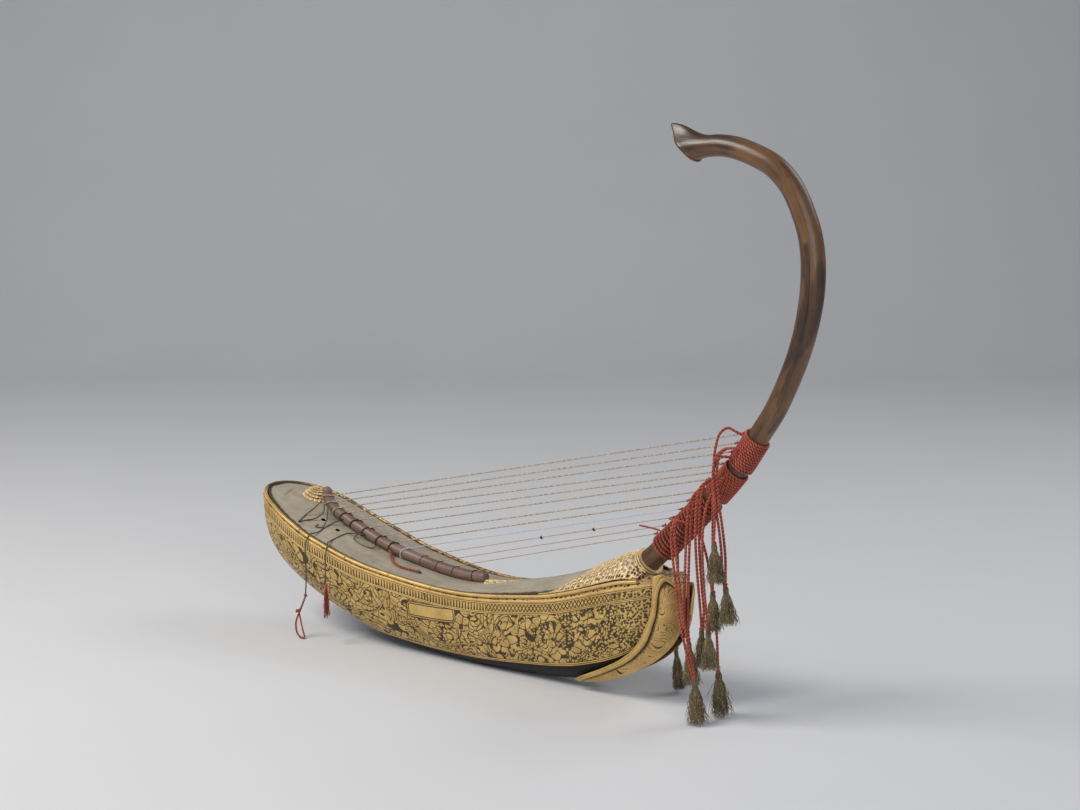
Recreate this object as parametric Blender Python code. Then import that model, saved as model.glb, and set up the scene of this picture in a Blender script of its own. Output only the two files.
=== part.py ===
"""Arched harp of the saung kind: boat-shaped gilt body, skin table, string bar,
curved root-wood neck, twelve strings and their red tuning cords with tassels.

Blender 4.5, metres, +Z up. X runs along the body, tail at -X and neck at +X,
Y is zero on the plane of symmetry, and Z is zero on the ground. The origin is
the middle of the instrument's length, on the ground.
"""

from math import cos, pi, sin, sqrt

import bmesh
import bpy
from mathutils import Vector

# Body
HULL_LENGTH = 0.7905
HULL_WIDTH = 0.1640
HULL_HEIGHT = 0.2075
HULL_WALL = 0.0115
HULL_FLOOR = 0.0140
KEEL_FLAT_DEPTH = 0.0022
CAVITY_TAIL_BLOCK = 0.0750
CAVITY_NECK_BLOCK = 0.1060
DECK_CROWN = 0.0390
SECTION_POWER = 2.3
TAIL_ROUND = 0.0950
STEM_ROUND = 0.0470
END_WIDTH = 0.0030

# Table: the skin, the gilt rim bead and the gilt shoulder relief
SKIN_THICKNESS = 0.0016
SKIN_MARGIN = 0.0078
SKIN_TAIL_SPACE = 0.0079
SKIN_NECK_SPACE = 0.0158
RIM_BEAD_DIAMETER = 0.0054
RIM_BEAD_INSET = 0.0034
RIM_BEAD_RUN = 0.0095
RELIEF_THICKNESS = 0.0024
RELIEF_TIP = 0.1400
RELIEF_DEPTH = 0.0850
RELIEF_CURVE = 1.6
RELIEF_EDGE_SPACE = 0.0004
SOUND_HOLE_DIAMETER = 0.0075
SOUND_HOLE_SPREAD = 0.0520
SOUND_HOLE_PITCH = 0.0300
SOUND_HOLE_SPACE = 0.0100

# Carved leaves on the stem
LEAF_THICKNESS = 0.0055
LEAF_SPLIT = 0.0060
LEAF_LOBE = 0.0070
LEAF_LOBE_START = 0.80
LEAF_CURVE = 1.7
LEAF_POINT = 0.03

# String bar
BAR_LENGTH = 0.2960
BAR_TAIL_OFFSET = 0.1445
BAR_DIAMETER = 0.0160
BAR_NECK_DIAMETER = 0.0110
BAR_TAPER_END = 0.625
BAR_HOOK_HEIGHT = 0.0440
BAR_HOOK_REACH = 0.0260
ROSETTE_DIAMETER = 0.0390
ROSETTE_HEIGHT = 0.0180
ROSETTE_SPACE = 0.0165
ROSETTE_SIDE = 0.0170
ROSETTE_PETALS = 8
BAR_RELIEF_LENGTH = 0.0620
BAR_RELIEF_WIDTH = 0.0140
BAR_RELIEF_THICKNESS = 0.0012
BAR_RELIEF_CURVE = 0.8

# Neck
NECK_REACH = 0.2472
NECK_RISE = 0.5705
NECK_DIAMETER = 0.0310
NECK_INSET = 0.0590
NECK_EXIT_DROP = 0.0095
NECK_FOOT = 0.0550
COLLAR_DIAMETER = 0.0430
COLLAR_LENGTH = 0.0085
FINIAL_LENGTH = 0.0660
FINIAL_WIDTH = 0.0560
FINIAL_LEAN = 0.8340
FINIAL_FLARE = 0.55
FINIAL_RISE = 0.40
FINIAL_POINT = 0.20
FINIAL_NARROWING = 0.22
FINIAL_LIP = 0.0040
FINIAL_DISH = 0.0030
HOLLOW_DIAMETER = 0.0080
HOLLOW_LENGTH = 0.1150
HOLLOW_PLACE = 0.40
HOLLOW_ANGLE = 0.9884
HOLLOW_END = 0.06

# Strings and tuning cords
STRING_COUNT = 12
STRING_DIAMETER = 0.0013
SPARE_TIE_SPACE = 0.0200
TIE_PITCH_AXIAL = 0.0030
TIE_TURNS = 1.25
TIE_POINTS = 8
STRING_BEND_PLACE = 0.985
CORD_DIAMETER = 0.0032
CORD_POINTS = 12
TURN_GAP = 0.0007
LOOSE_TURN_GAP = 0.0026
WIND_TURNS = 3
LOOSE_WIND_TURNS = 2
WIND_FIRST = 0.0340
WIND_LOOSE_COUNT = 6
WIND_GROUP_GAP = 0.0080
WIND_CLEARANCE = 0.0011
WIND_SPACE = 0.0012
LOOSE_WIND_SPACE = 0.0042
WIND_POINTS = 12
CORD_STUB = 0.0038

# Free cords: points chosen by hand, in metres. Each hanging cord leaves its
# winding at an angle from the neck's hollow side towards the near side.
THIN_CORD_DIAMETER = 0.0016
HANGING_CORDS = (
    # winding, angle in degrees, route, lowest point of the tassel, tassel diameter
    (12, 30, ((0.3800, -0.0150, 0.4000), (0.3710, -0.0190, 0.4040), (0.3620, -0.0230, 0.3970),
              (0.3575, -0.0270, 0.3780), (0.3575, -0.0310, 0.3480), (0.3600, -0.0340, 0.3140),
              (0.3630, -0.0350, 0.2820), (0.3630, -0.0360, 0.2520)), (0.3690, -0.0360, 0.1960), 0.0160),
    (11, 60, ((0.3750, -0.0280, 0.3780), (0.3680, -0.0330, 0.3690), (0.3655, -0.0355, 0.3460),
              (0.3670, -0.0330, 0.3100), (0.3690, -0.0250, 0.2700), (0.3710, -0.0200, 0.2300),
              (0.3720, -0.0200, 0.1920)), (0.3780, -0.0210, 0.1380), 0.0150),
    (10, 60, ((0.3660, -0.0270, 0.3660), (0.3570, -0.0270, 0.3540), (0.3530, -0.0260, 0.3300),
              (0.3520, -0.0230, 0.2900), (0.3510, -0.0200, 0.2400), (0.3520, -0.0200, 0.1800)),
     (0.3540, -0.0190, 0.1240), 0.0150),
    (9, 90, ((0.3630, -0.0265, 0.3310), (0.3570, -0.0300, 0.3200), (0.3500, -0.0350, 0.3000),
             (0.3460, -0.0370, 0.2660), (0.3465, -0.0370, 0.2200), (0.3510, -0.0370, 0.1750),
             (0.3560, -0.0360, 0.1320)), (0.3600, -0.0350, 0.0760), 0.0150),
    (8, 60, ((0.3450, -0.0260, 0.3310), (0.3370, -0.0320, 0.3210), (0.3340, -0.0350, 0.2960),
             (0.3340, -0.0360, 0.2500), (0.3360, -0.0330, 0.2000), (0.3380, -0.0280, 0.1540),
             (0.3390, -0.0260, 0.1280)), (0.3410, -0.0240, 0.0730), 0.0140),
    (7, 90, ((0.3360, -0.0270, 0.3180), (0.3290, -0.0320, 0.3050), (0.3255, -0.0340, 0.2800),
             (0.3240, -0.0350, 0.2400), (0.3230, -0.0350, 0.1900), (0.3230, -0.0350, 0.1500),
             (0.3240, -0.0340, 0.1110)), (0.3300, -0.0330, 0.0480), 0.0135),
    (6, 90, ((0.3280, -0.0270, 0.2920), (0.3300, -0.0300, 0.2820), (0.3350, -0.0250, 0.2560),
             (0.3410, -0.0180, 0.2230), (0.3450, -0.0090, 0.1700), (0.3480, -0.0030, 0.1200),
             (0.3500, 0.0000, 0.0650)), (0.3540, 0.0040, 0.0006), 0.0180),
    (4, 90, ((0.2980, -0.0270, 0.2720), (0.2990, -0.0340, 0.2600), (0.3070, -0.0410, 0.2260),
             (0.3160, -0.0450, 0.1850), (0.3240, -0.0470, 0.1400), (0.3340, -0.0460, 0.1000),
             (0.3410, -0.0440, 0.0640)), (0.3460, -0.0420, 0.0006), 0.0170),
    (1, -120, ((0.2560, 0.0290, 0.2330), (0.2520, 0.0400, 0.2220), (0.2470, 0.0510, 0.1980),
               (0.2440, 0.0570, 0.1650), (0.2430, 0.0580, 0.1300), (0.2430, 0.0560, 0.0950),
               (0.2440, 0.0540, 0.0640)), (0.2520, 0.0520, 0.0040), 0.0120),
)
# The tail cords start on the skin: the third value there is a height above it.
TAIL_TIE_ON_SKIN = ((-0.3850, -0.0290, 0.0080), (-0.3860, -0.0430, 0.0012), (-0.3830, -0.0530, 0.0006),
                    (-0.3790, -0.0620, 0.0004))
TAIL_TIE_TOP = (-0.3800, -0.0130, 0.1985)
LONG_CORD_ON_SKIN = ((-0.3500, -0.0240, 0.0006), (-0.3480, -0.0400, 0.0005), (-0.3440, -0.0560, 0.0010),
                     (-0.3420, -0.0690, 0.0034), (-0.3420, -0.0775, 0.0052))
LONG_CORD_BELOW = ((-0.3420, -0.0850, 0.1550), (-0.3420, -0.0875, 0.1420), (-0.3420, -0.0870, 0.1200),
                   (-0.3420, -0.0870, 0.0950), (-0.3440, -0.0870, 0.0700))
RED_LOOP = ((-0.3440, -0.0870, 0.0690), (-0.3500, -0.0872, 0.0560), (-0.3580, -0.0876, 0.0400),
            (-0.3650, -0.0882, 0.0220), (-0.3620, -0.0890, 0.0080), (-0.3540, -0.0895, 0.0020),
            (-0.3460, -0.0890, 0.0018))
SHORT_CORD_ON_SKIN = ((-0.3205, -0.0190, 0.0006), (-0.3195, -0.0360, 0.0005), (-0.3165, -0.0560, 0.0010),
                      (-0.3115, -0.0700, 0.0034), (-0.3060, -0.0780, 0.0052))
SHORT_CORD_BELOW = ((-0.3000, -0.0862, 0.1415), (-0.2985, -0.0888, 0.1290), (-0.2990, -0.0885, 0.0985))
RED_TASSEL_END = (-0.2985, -0.0885, 0.0410)
RED_TASSEL_DIAMETER = 0.0060
LOOSE_CORD_ON_SKIN = ((-0.2280, -0.0195, 0.0010), (-0.2140, -0.0290, 0.0008), (-0.1985, -0.0340, 0.0008),
                      (-0.1820, -0.0320, 0.0008), (-0.1640, -0.0280, 0.0008))

# Space left between pieces that touch, and what facets of curved faces add to it
GAP = 0.0003
FACET = 0.0003

# Lines of the body. The first value of each pair is a share of the length,
# from the tail tip to the stem, and the second a share of the size named above.
RIM_LINE = (
    (0.0, 1.0), (0.072, 0.924), (0.198, 0.750), (0.36, 0.600), (0.54, 0.537), (0.72, 0.6075),
    (0.9, 0.804), (0.942, 0.849), (0.968, 0.874), (0.984, 0.845), (0.995, 0.780), (1.0, 0.723),
)
KEEL_LINE = (
    (0.0, 0.760), (0.004, 0.690), (0.014, 0.620), (0.032, 0.545), (0.072, 0.436), (0.198, 0.223),
    (0.36, 0.0468), (0.565, 0.0), (0.72, 0.0328), (0.776, 0.058), (0.843, 0.123), (0.8865, 0.188),
    (0.929, 0.283), (0.951, 0.345), (0.971, 0.417), (0.984, 0.482), (0.993, 0.552), (1.0, 0.660),
)
WIDTH_LINE = (
    (0.0, 0.84), (0.072, 0.862), (0.14, 0.955), (0.198, 1.0), (0.26, 0.99), (0.36, 0.921),
    (0.54, 0.747), (0.72, 0.627), (0.9, 0.540), (1.0, 0.510),
)
CROWN_LINE = (
    (0.0, 0.0), (0.04, 0.07), (0.10, 0.16), (0.16, 0.20), (0.20, 0.14), (0.30, 0.02), (0.42, 0.0),
    (0.49, 0.03), (0.56, 0.13), (0.638, 0.33), (0.696, 0.46), (0.753, 0.61), (0.813, 0.72),
    (0.863, 0.90), (0.90, 1.0), (0.92, 0.66), (0.942, 0.20), (0.968, 0.0), (1.0, 0.0),
)
STATIONS = (
    0.0, 0.003, 0.010, 0.022, 0.040, 0.064, 0.095, 0.13, 0.165, 0.20, 0.26, 0.32, 0.39, 0.46, 0.53,
    0.60, 0.66, 0.71, 0.755, 0.80, 0.84, 0.87, 0.90, 0.92, 0.94, 0.958, 0.972, 0.984, 0.993, 1.0,
)

# Edges of the stem's leaves: share of the leaf's length from its point upwards,
# share of the body's length, and share of the body's height
LEAF_GROOVE = (
    (0.0, 0.770, 0.060), (0.15, 0.807, 0.135), (0.30, 0.849, 0.212), (0.45, 0.8945, 0.313),
    (0.58, 0.9236, 0.405), (0.68, 0.9426, 0.492), (0.78, 0.9552, 0.593), (0.86, 0.9628, 0.665),
    (0.93, 0.9672, 0.790), (1.0, 0.9680, 0.922),
)
LEAF_EDGE = (
    (0.0, 0.772, 0.056), (0.20, 0.850, 0.131), (0.40, 0.915, 0.250), (0.55, 0.955, 0.357),
    (0.68, 0.984, 0.482), (0.78, 0.9965, 0.600), (0.88, 0.9990, 0.720), (0.95, 0.9975, 0.830),
    (1.0, 0.9900, 0.912),
)

# Centre line of the neck from its collar, as shares of its reach and its rise
NECK_LINE = (
    (0.0, 0.0), (0.093, 0.0386), (0.32, 0.139), (0.565, 0.258), (0.697, 0.343), (0.809, 0.421),
    (0.929, 0.543), (0.9935, 0.661), (1.0, 0.743), (0.979, 0.808), (0.932, 0.863), (0.862, 0.915),
    (0.7605, 0.957), (0.650, 0.980), (0.525, 0.996), (0.424, 1.0), (0.359, 0.998),
)
NECK_GIRTH = (
    (0.0, 1.02), (0.10, 0.99), (0.25, 0.96), (0.36, 0.93), (0.48, 0.96), (0.62, 1.02), (0.80, 0.99),
    (0.92, 0.94), (1.0, 0.93),
)

# Ties of strings 1 to 12, as shares of the bar's length from its neck end to the
# tip of its hook: the last two are on the hook
TIE_PLACES = (
    0.162, 0.251, 0.336, 0.433, 0.510, 0.5835, 0.6635, 0.7345, 0.800, 0.846, 0.894, 0.934,
)

# Profiles of turned and bent pieces, as shares of their named sizes
HOOK_PROFILE = (
    # reach, rise, girth
    (0.35, 0.10, 1.0), (0.75, 0.32, 1.0), (1.0, 0.62, 0.95), (0.92, 0.86, 0.80), (0.72, 1.0, 0.55),
)
COLLAR_PROFILE = (
    # place along half the length, share of the bead's height
    (-1.0, 0.0), (-1.0, 0.75), (-0.6, 1.0), (-0.1, 1.0), (0.05, 0.70), (0.3, 0.95), (0.7, 0.85),
    (1.0, 0.50), (1.0, 0.0),
)
ROSETTE_PROFILE = ((0.0, 0.94), (0.16, 1.0), (0.42, 0.90), (0.66, 0.70), (0.86, 0.45), (0.97, 0.2))
TASSEL_PROFILE = (
    (0.0, 0.30), (0.04, 0.52), (0.12, 0.60), (0.18, 0.42), (0.30, 0.66), (0.62, 0.86), (0.97, 1.0),
)
FINIAL_STAGES = ((0.35, 0.10), (0.62, 0.30), (0.84, 0.66), (1.0, 1.0))


def clear_scene():
    for old in list(bpy.data.objects):
        bpy.data.objects.remove(old, do_unlink=True)


def finish_material(name, color, roughness, metallic=0.0):
    material = bpy.data.materials.get(name) or bpy.data.materials.new(name)
    material.use_nodes = True
    shader = material.node_tree.nodes["Principled BSDF"]
    shader.inputs["Base Color"].default_value = (*color, 1.0)
    shader.inputs["Roughness"].default_value = roughness
    shader.inputs["Metallic"].default_value = metallic
    return material


def gilt():
    return finish_material("gilt_lacquer", (0.52, 0.34, 0.10), 0.42, 0.55)


def deerskin():
    return finish_material("deerskin", (0.36, 0.33, 0.27), 0.62)


def bar_wood():
    return finish_material("bar_wood", (0.16, 0.075, 0.045), 0.35)


def root_wood():
    return finish_material("root_wood", (0.17, 0.07, 0.03), 0.28)


def gut():
    return finish_material("gut_string", (0.55, 0.47, 0.33), 0.45)


def red_cord():
    return finish_material("red_cord", (0.33, 0.035, 0.025), 0.75)


def dark_cord():
    return finish_material("dark_cord", (0.045, 0.04, 0.025), 0.8)


def tassel_thread():
    return finish_material("tassel_thread", (0.10, 0.085, 0.035), 0.8)


def spline_value(table, x):
    """Value at x of a smooth curve through the pairs of a table."""
    last = len(table) - 1
    x = min(max(x, table[0][0]), table[last][0])
    i = 0
    while i < last - 1 and x > table[i + 1][0]:
        i += 1

    def rise(k):
        return (table[k + 1][1] - table[k][1]) / (table[k + 1][0] - table[k][0])

    def slope(k):
        if k == 0:
            return rise(0)
        if k == last:
            return rise(last - 1)
        before = rise(k - 1)
        after = rise(k)
        if before * after <= 0.0:
            return 0.0
        return 2.0 * before * after / (before + after)

    width = table[i + 1][0] - table[i][0]
    t = (x - table[i][0]) / width
    start = table[i][1] * (2 * t**3 - 3 * t**2 + 1) + slope(i) * width * (t**3 - 2 * t**2 + t)
    end = table[i + 1][1] * (3 * t**2 - 2 * t**3) + slope(i + 1) * width * (t**3 - t**2)
    return start + end


def smooth_path(points, count):
    """Evenly spaced points on a smooth curve through a few chosen points."""
    nodes = [Vector(p) for p in points]
    first = nodes[0] * 2 - nodes[1]
    last = nodes[-1] * 2 - nodes[-2]
    nodes = [first] + nodes + [last]
    fine = []
    steps = 12
    for i in range(1, len(nodes) - 2):
        p0, p1, p2, p3 = nodes[i - 1:i + 3]
        k1 = (p1 - p0).length ** 0.5
        k2 = (p2 - p1).length ** 0.5
        k3 = (p3 - p2).length ** 0.5
        m1 = (p1 - p0) / k1 - (p2 - p0) / (k1 + k2) + (p2 - p1) / k2
        m2 = (p2 - p1) / k2 - (p3 - p1) / (k2 + k3) + (p3 - p2) / k3
        for j in range(steps):
            t = j / steps
            a = p1 * (2 * t**3 - 3 * t**2 + 1) + m1 * k2 * (t**3 - 2 * t**2 + t)
            b = p2 * (3 * t**2 - 2 * t**3) + m2 * k2 * (t**3 - t**2)
            fine.append(a + b)
    fine.append(nodes[-2])
    lengths = [0.0]
    for before, after in zip(fine, fine[1:]):
        lengths.append(lengths[-1] + (after - before).length)
    path = []
    j = 0
    for i in range(count):
        target = lengths[-1] * i / (count - 1)
        while j < len(fine) - 2 and lengths[j + 1] < target:
            j += 1
        span = lengths[j + 1] - lengths[j]
        path.append(fine[j].lerp(fine[j + 1], (target - lengths[j]) / span))
    return path


def link(name, data, material):
    thing = bpy.data.objects.new(name, data)
    bpy.context.collection.objects.link(thing)
    data.materials.append(material)
    return thing


def mesh_object(name, vertices, faces, material, smooth_angle=0.7):
    mesh = bpy.data.meshes.new(name)
    mesh.from_pydata([tuple(v) for v in vertices], [], faces)
    work = bmesh.new()
    work.from_mesh(mesh)
    bmesh.ops.remove_doubles(work, verts=work.verts, dist=0.000005)
    bmesh.ops.recalc_face_normals(work, faces=work.faces)
    work.to_mesh(mesh)
    work.free()
    mesh.shade_smooth()
    mesh.set_sharp_from_angle(angle=smooth_angle)
    return link(name, mesh, material)


def loft(name, rings, material, smooth_angle=0.7):
    """Closed solid through rings of equal point count, with flat ends."""
    count = len(rings[0])
    vertices = [point for ring in rings for point in ring]
    faces = [list(range(count))[::-1]]
    for i in range(len(rings) - 1):
        for j in range(count):
            a = i * count + j
            b = i * count + (j + 1) % count
            faces.append([a, b, b + count, a + count])
    start = (len(rings) - 1) * count
    faces.append(list(range(start, start + count)))
    return mesh_object(name, vertices, faces, material, smooth_angle)


def tube(name, path, diameter, material, resolution=2):
    """Round cord along a path, with capped ends."""
    curve = bpy.data.curves.new(name, "CURVE")
    curve.dimensions = "3D"
    curve.bevel_depth = diameter / 2
    curve.bevel_resolution = resolution
    curve.use_fill_caps = True
    spline = curve.splines.new("POLY")
    spline.points.add(len(path) - 1)
    for point, place in zip(spline.points, path):
        point.co = (*place, 1.0)
    return link(name, curve, material)


def cut(target, cutter):
    """Takes a cutter's solid out of a target, and keeps the cutter as a guide."""
    boolean = target.modifiers.new("cut_" + cutter.name, "BOOLEAN")
    boolean.operation = "DIFFERENCE"
    boolean.object = cutter
    cutter.hide_render = True
    cutter.display_type = "WIRE"


def hull_x(s):
    return s * HULL_LENGTH - tail_offset()


def hull_share(x):
    return (x + tail_offset()) / HULL_LENGTH


def tail_offset():
    """Distance from the tail tip to the middle of the whole instrument."""
    overhang = NECK_REACH - NECK_INSET + NECK_DIAMETER / 2
    return (HULL_LENGTH + overhang) / 2


def rim_z(s):
    return HULL_HEIGHT * spline_value(RIM_LINE, s)


def keel_z(s):
    return HULL_HEIGHT * spline_value(KEEL_LINE, s) - KEEL_FLAT_DEPTH


def end_round(distance, reach):
    """Rounds a plan outline towards an end, from 0 at the end to 1 inside."""
    t = 1.0 - min(max(distance / reach, 0.0), 1.0)
    return sqrt(1.0 - t * t)


def half_width(s, inset=0.0):
    full = HULL_WIDTH / 2 * spline_value(WIDTH_LINE, s) - inset
    tail = end_round(s * HULL_LENGTH - inset, TAIL_ROUND - inset)
    stem = end_round((1.0 - s) * HULL_LENGTH - inset, STEM_ROUND - inset)
    return max(full * tail * stem, END_WIDTH / 2)


def deck_z(s, y):
    """Height of the wooden deck, which is crowned towards the neck."""
    crown = DECK_CROWN * spline_value(CROWN_LINE, s)
    share = min(abs(y) / half_width(s), 1.0)
    return rim_z(s) + crown * (1.0 - share * share)


def facet_z(s):
    """Height of the deck's middle, straight between two stations of the body."""
    i = 0
    while i < len(STATIONS) - 2 and s > STATIONS[i + 1]:
        i += 1
    share = (s - STATIONS[i]) / (STATIONS[i + 1] - STATIONS[i])
    straight = deck_z(STATIONS[i], 0.0) * (1.0 - share) + deck_z(STATIONS[i + 1], 0.0) * share
    return max(straight, deck_z(s, 0.0))


def on_deck(s, y, lift):
    """Point at a distance off the deck, square to it."""
    step = 0.001
    ds = step / HULL_LENGTH
    along_x = (deck_z(s + ds, y) - deck_z(s - ds, y)) / (2 * step)
    along_y = (deck_z(s, y + step) - deck_z(s, y - step)) / (2 * step)
    normal = Vector((-along_x, -along_y, 1.0)).normalized()
    return Vector((hull_x(s), y, deck_z(s, y))) + normal * lift


def skin_top():
    """Height of the skin's outer face above the deck."""
    return GAP + FACET * 2 + SKIN_THICKNESS


def power(value, exponent):
    return abs(value) ** exponent * (1 if value >= 0 else -1)


def hull_ring(s, count=16, deck_count=8):
    wide = half_width(s)
    top = rim_z(s)
    low = keel_z(s)
    ring = []
    for j in range(count + 1):
        angle = pi * j / count
        y = -wide * power(cos(angle), 2 / SECTION_POWER)
        z = top - (top - low) * power(sin(angle), 2 / SECTION_POWER)
        ring.append((hull_x(s), y, z))
    for j in range(1, deck_count):
        y = wide * (1.0 - 2.0 * j / deck_count)
        ring.append((hull_x(s), y, deck_z(s, y)))
    return ring


def cavity_ring(s, count=14):
    wide = half_width(s) - HULL_WALL
    top = rim_z(s) + DECK_CROWN * 1.5
    low = keel_z(s) + HULL_FLOOR
    knee = rim_z(s)
    ring = [(hull_x(s), -wide, top)]
    for j in range(count + 1):
        angle = pi * j / count
        y = -wide * power(cos(angle), 2 / SECTION_POWER)
        z = knee - (knee - low) * power(sin(angle), 2 / SECTION_POWER)
        ring.append((hull_x(s), y, z))
    ring.append((hull_x(s), wide, top))
    return ring


def neck_frame():
    """Evenly spaced points, tangents and normals along the neck."""
    base = Vector((hull_x(collar_share()), 0.0, HULL_HEIGHT - NECK_EXIT_DROP))
    line = [base + Vector((x * NECK_REACH, 0.0, z * NECK_RISE)) for x, z in NECK_LINE]
    return smooth_path(line, 181)


def neck_length(path):
    return sum((b - a).length for a, b in zip(path, path[1:]))


def along(path, distance):
    """Point, tangent and concave-side normal at a distance along the neck."""
    step = neck_length(path) / (len(path) - 1)
    index = min(int(distance / step), len(path) - 2)
    place = path[index].lerp(path[index + 1], distance / step - index)
    before = path[max(index - 2, 0)]
    after = path[min(index + 3, len(path) - 1)]
    tangent = (after - before).normalized()
    normal = Vector((-tangent.z, 0.0, tangent.x))
    return place, tangent, normal


def neck_radius(path, distance):
    share = distance / neck_length(path)
    return NECK_DIAMETER / 2 * spline_value(NECK_GIRTH, share)


def collar_share():
    """Share of the body's length at which the neck leaves it."""
    return 1.0 - NECK_INSET / HULL_LENGTH


def round_ring(centre, across, side, radius_a, radius_b, count):
    ring = []
    for j in range(count):
        angle = 2 * pi * j / count
        ring.append(centre + across * (radius_a * cos(angle)) + side * (radius_b * sin(angle)))
    return ring


def axis_cylinder(name, start, end, radius, material, count=32):
    """Cylinder between two points of the plane of symmetry."""
    tangent = (end - start).normalized()
    normal = Vector((-tangent.z, 0.0, tangent.x))
    side = Vector((0.0, 1.0, 0.0))
    rings = [round_ring(p, normal, side, radius, radius, count) for p in (start, end)]
    return loft(name, rings, material)


def make_cutters(path):
    base, tangent, normal = along(path, 0.0)
    seat_start = base - tangent * (COLLAR_LENGTH / 2 + GAP)
    seat_end = base + tangent * COLLAR_DIAMETER * 2
    seat_radius = COLLAR_DIAMETER / 2 + GAP * 2
    seat = axis_cylinder("guide_collar_seat", seat_start, seat_end, seat_radius, gilt())
    foot = base - tangent * (NECK_FOOT + GAP)
    radius = neck_radius(path, 0.0) + GAP * 2
    socket = axis_cylinder("guide_neck_socket", foot, base, radius, gilt())
    return seat, socket


def make_hull(seat, socket):
    hull = loft("hull", [hull_ring(s) for s in STATIONS], gilt())
    first = CAVITY_TAIL_BLOCK / HULL_LENGTH
    last = 1.0 - CAVITY_NECK_BLOCK / HULL_LENGTH
    inner = [first] + [s for s in STATIONS if first + 0.01 < s < last - 0.01] + [last]
    cavity = loft("guide_cavity", [cavity_ring(s) for s in inner], gilt())
    half = HULL_WIDTH
    block = [
        [(x, -half, -half), (x, half, -half), (x, half, 0.0), (x, -half, 0.0)]
        for x in (hull_x(0.0), hull_x(1.0))
    ]
    ground = loft("guide_ground", block, gilt())
    for cutter in (cavity, ground, socket, seat):
        cut(hull, cutter)


def deck_grid(inset, lift, first, last):
    """Rows of points over the deck, at a lift above the wood."""
    inner = [s for s in STATIONS if first - 1e-6 <= s <= last + 1e-6]
    rows = []
    for s in inner:
        wide = half_width(s)
        edge = half_width(s, inset)
        ys = [-edge] + [wide * k / 4 for k in range(-3, 4) if abs(wide * k / 4) < edge - 0.002] + [edge]
        rows.append([on_deck(s, y, lift) for y in ys])
    return rows


def bridge_rows(rows):
    """Triangles and quads between rows of unequal point counts."""
    vertices = []
    starts = []
    for row in rows:
        starts.append(len(vertices))
        vertices.extend(row)
    faces = []
    for i in range(len(rows) - 1):
        a, b = starts[i], starts[i + 1]
        i_a = i_b = 0
        n_a, n_b = len(rows[i]) - 1, len(rows[i + 1]) - 1
        while i_a < n_a or i_b < n_b:
            ya = rows[i][min(i_a + 1, n_a)][1] if i_a < n_a else 1.0
            yb = rows[i + 1][min(i_b + 1, n_b)][1] if i_b < n_b else 1.0
            if n_a == n_b:
                faces.append([a + i_a, b + i_b, b + i_b + 1, a + i_a + 1])
                i_a += 1
                i_b += 1
            elif ya < yb:
                faces.append([a + i_a, b + i_b, a + i_a + 1])
                i_a += 1
            else:
                faces.append([a + i_a, b + i_b, b + i_b + 1])
                i_b += 1
    return vertices, faces


def thick_sheet(name, vertices, faces, thickness, material):
    sheet = mesh_object(name, vertices, faces, material)
    if sheet.data.polygons[0].normal.z < 0:
        sheet.data.flip_normals()
    solid = sheet.modifiers.new("thickness", "SOLIDIFY")
    solid.thickness = thickness
    solid.offset = 1.0
    return sheet


def make_skin(seat):
    first = SKIN_TAIL_SPACE / HULL_LENGTH
    last = collar_share() - SKIN_NECK_SPACE / HULL_LENGTH
    rows = deck_grid(SKIN_MARGIN, skin_top() - SKIN_THICKNESS, first, last)
    vertices, faces = bridge_rows(rows)
    skin = thick_sheet("soundboard_skin", vertices, faces, SKIN_THICKNESS, deerskin())
    cut(skin, seat)
    for i in range(4):
        x = bar_point(1.0).x - SOUND_HOLE_SPACE + SOUND_HOLE_PITCH * (i // 2)
        y = SOUND_HOLE_SPREAD / 2 * (1 if i % 2 else -1)
        z = deck_z(hull_share(x), y)
        radius = SOUND_HOLE_DIAMETER / 2
        rings = []
        for side in (-1, 1):
            centre = Vector((x, y, z + side * SOUND_HOLE_DIAMETER * 2))
            rings.append(round_ring(centre, Vector((1, 0, 0)), Vector((0, 1, 0)), radius, radius, 12))
        cut(skin, loft("guide_sound_hole_%d" % (i + 1), rings, deerskin()))


def make_relief(seat):
    """Gilt plate over the shoulders, whose two arms run along the rim."""
    lift = skin_top() + GAP + FACET * 6
    last = collar_share() - SKIN_NECK_SPACE / HULL_LENGTH
    stop = [s for s in STATIONS if s <= last + 1e-6][-1]
    tip = stop - RELIEF_TIP / HULL_LENGTH
    throat = stop - RELIEF_DEPTH / HULL_LENGTH
    inner = [tip] + [s for s in STATIONS if tip + 0.005 < s < stop - 1e-6] + [stop]
    vertices = []
    faces = []
    columns = 6
    for side in (-1, 1):
        start = len(vertices)
        for s in inner:
            edge = half_width(s, SKIN_MARGIN + RELIEF_EDGE_SPACE)
            share = min(max((s - tip) / (throat - tip), 0.0), 1.0)
            open_to = edge * (1.0 - share**RELIEF_CURVE) * (1.0 if share < 1.0 else 0.0)
            open_to = min(open_to, edge - RELIEF_THICKNESS)
            for k in range(columns + 1):
                y = side * (open_to + (edge - open_to) * k / columns)
                vertices.append(on_deck(s, y, lift))
        for i in range(len(inner) - 1):
            for k in range(columns):
                a = start + i * (columns + 1) + k
                b = a + columns + 1
                faces.append([a, a + 1, b + 1, b] if side > 0 else [a, b, b + 1, a + 1])
    relief = thick_sheet("shoulder_relief", vertices, faces, RELIEF_THICKNESS, gilt())
    cut(relief, seat)


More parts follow.
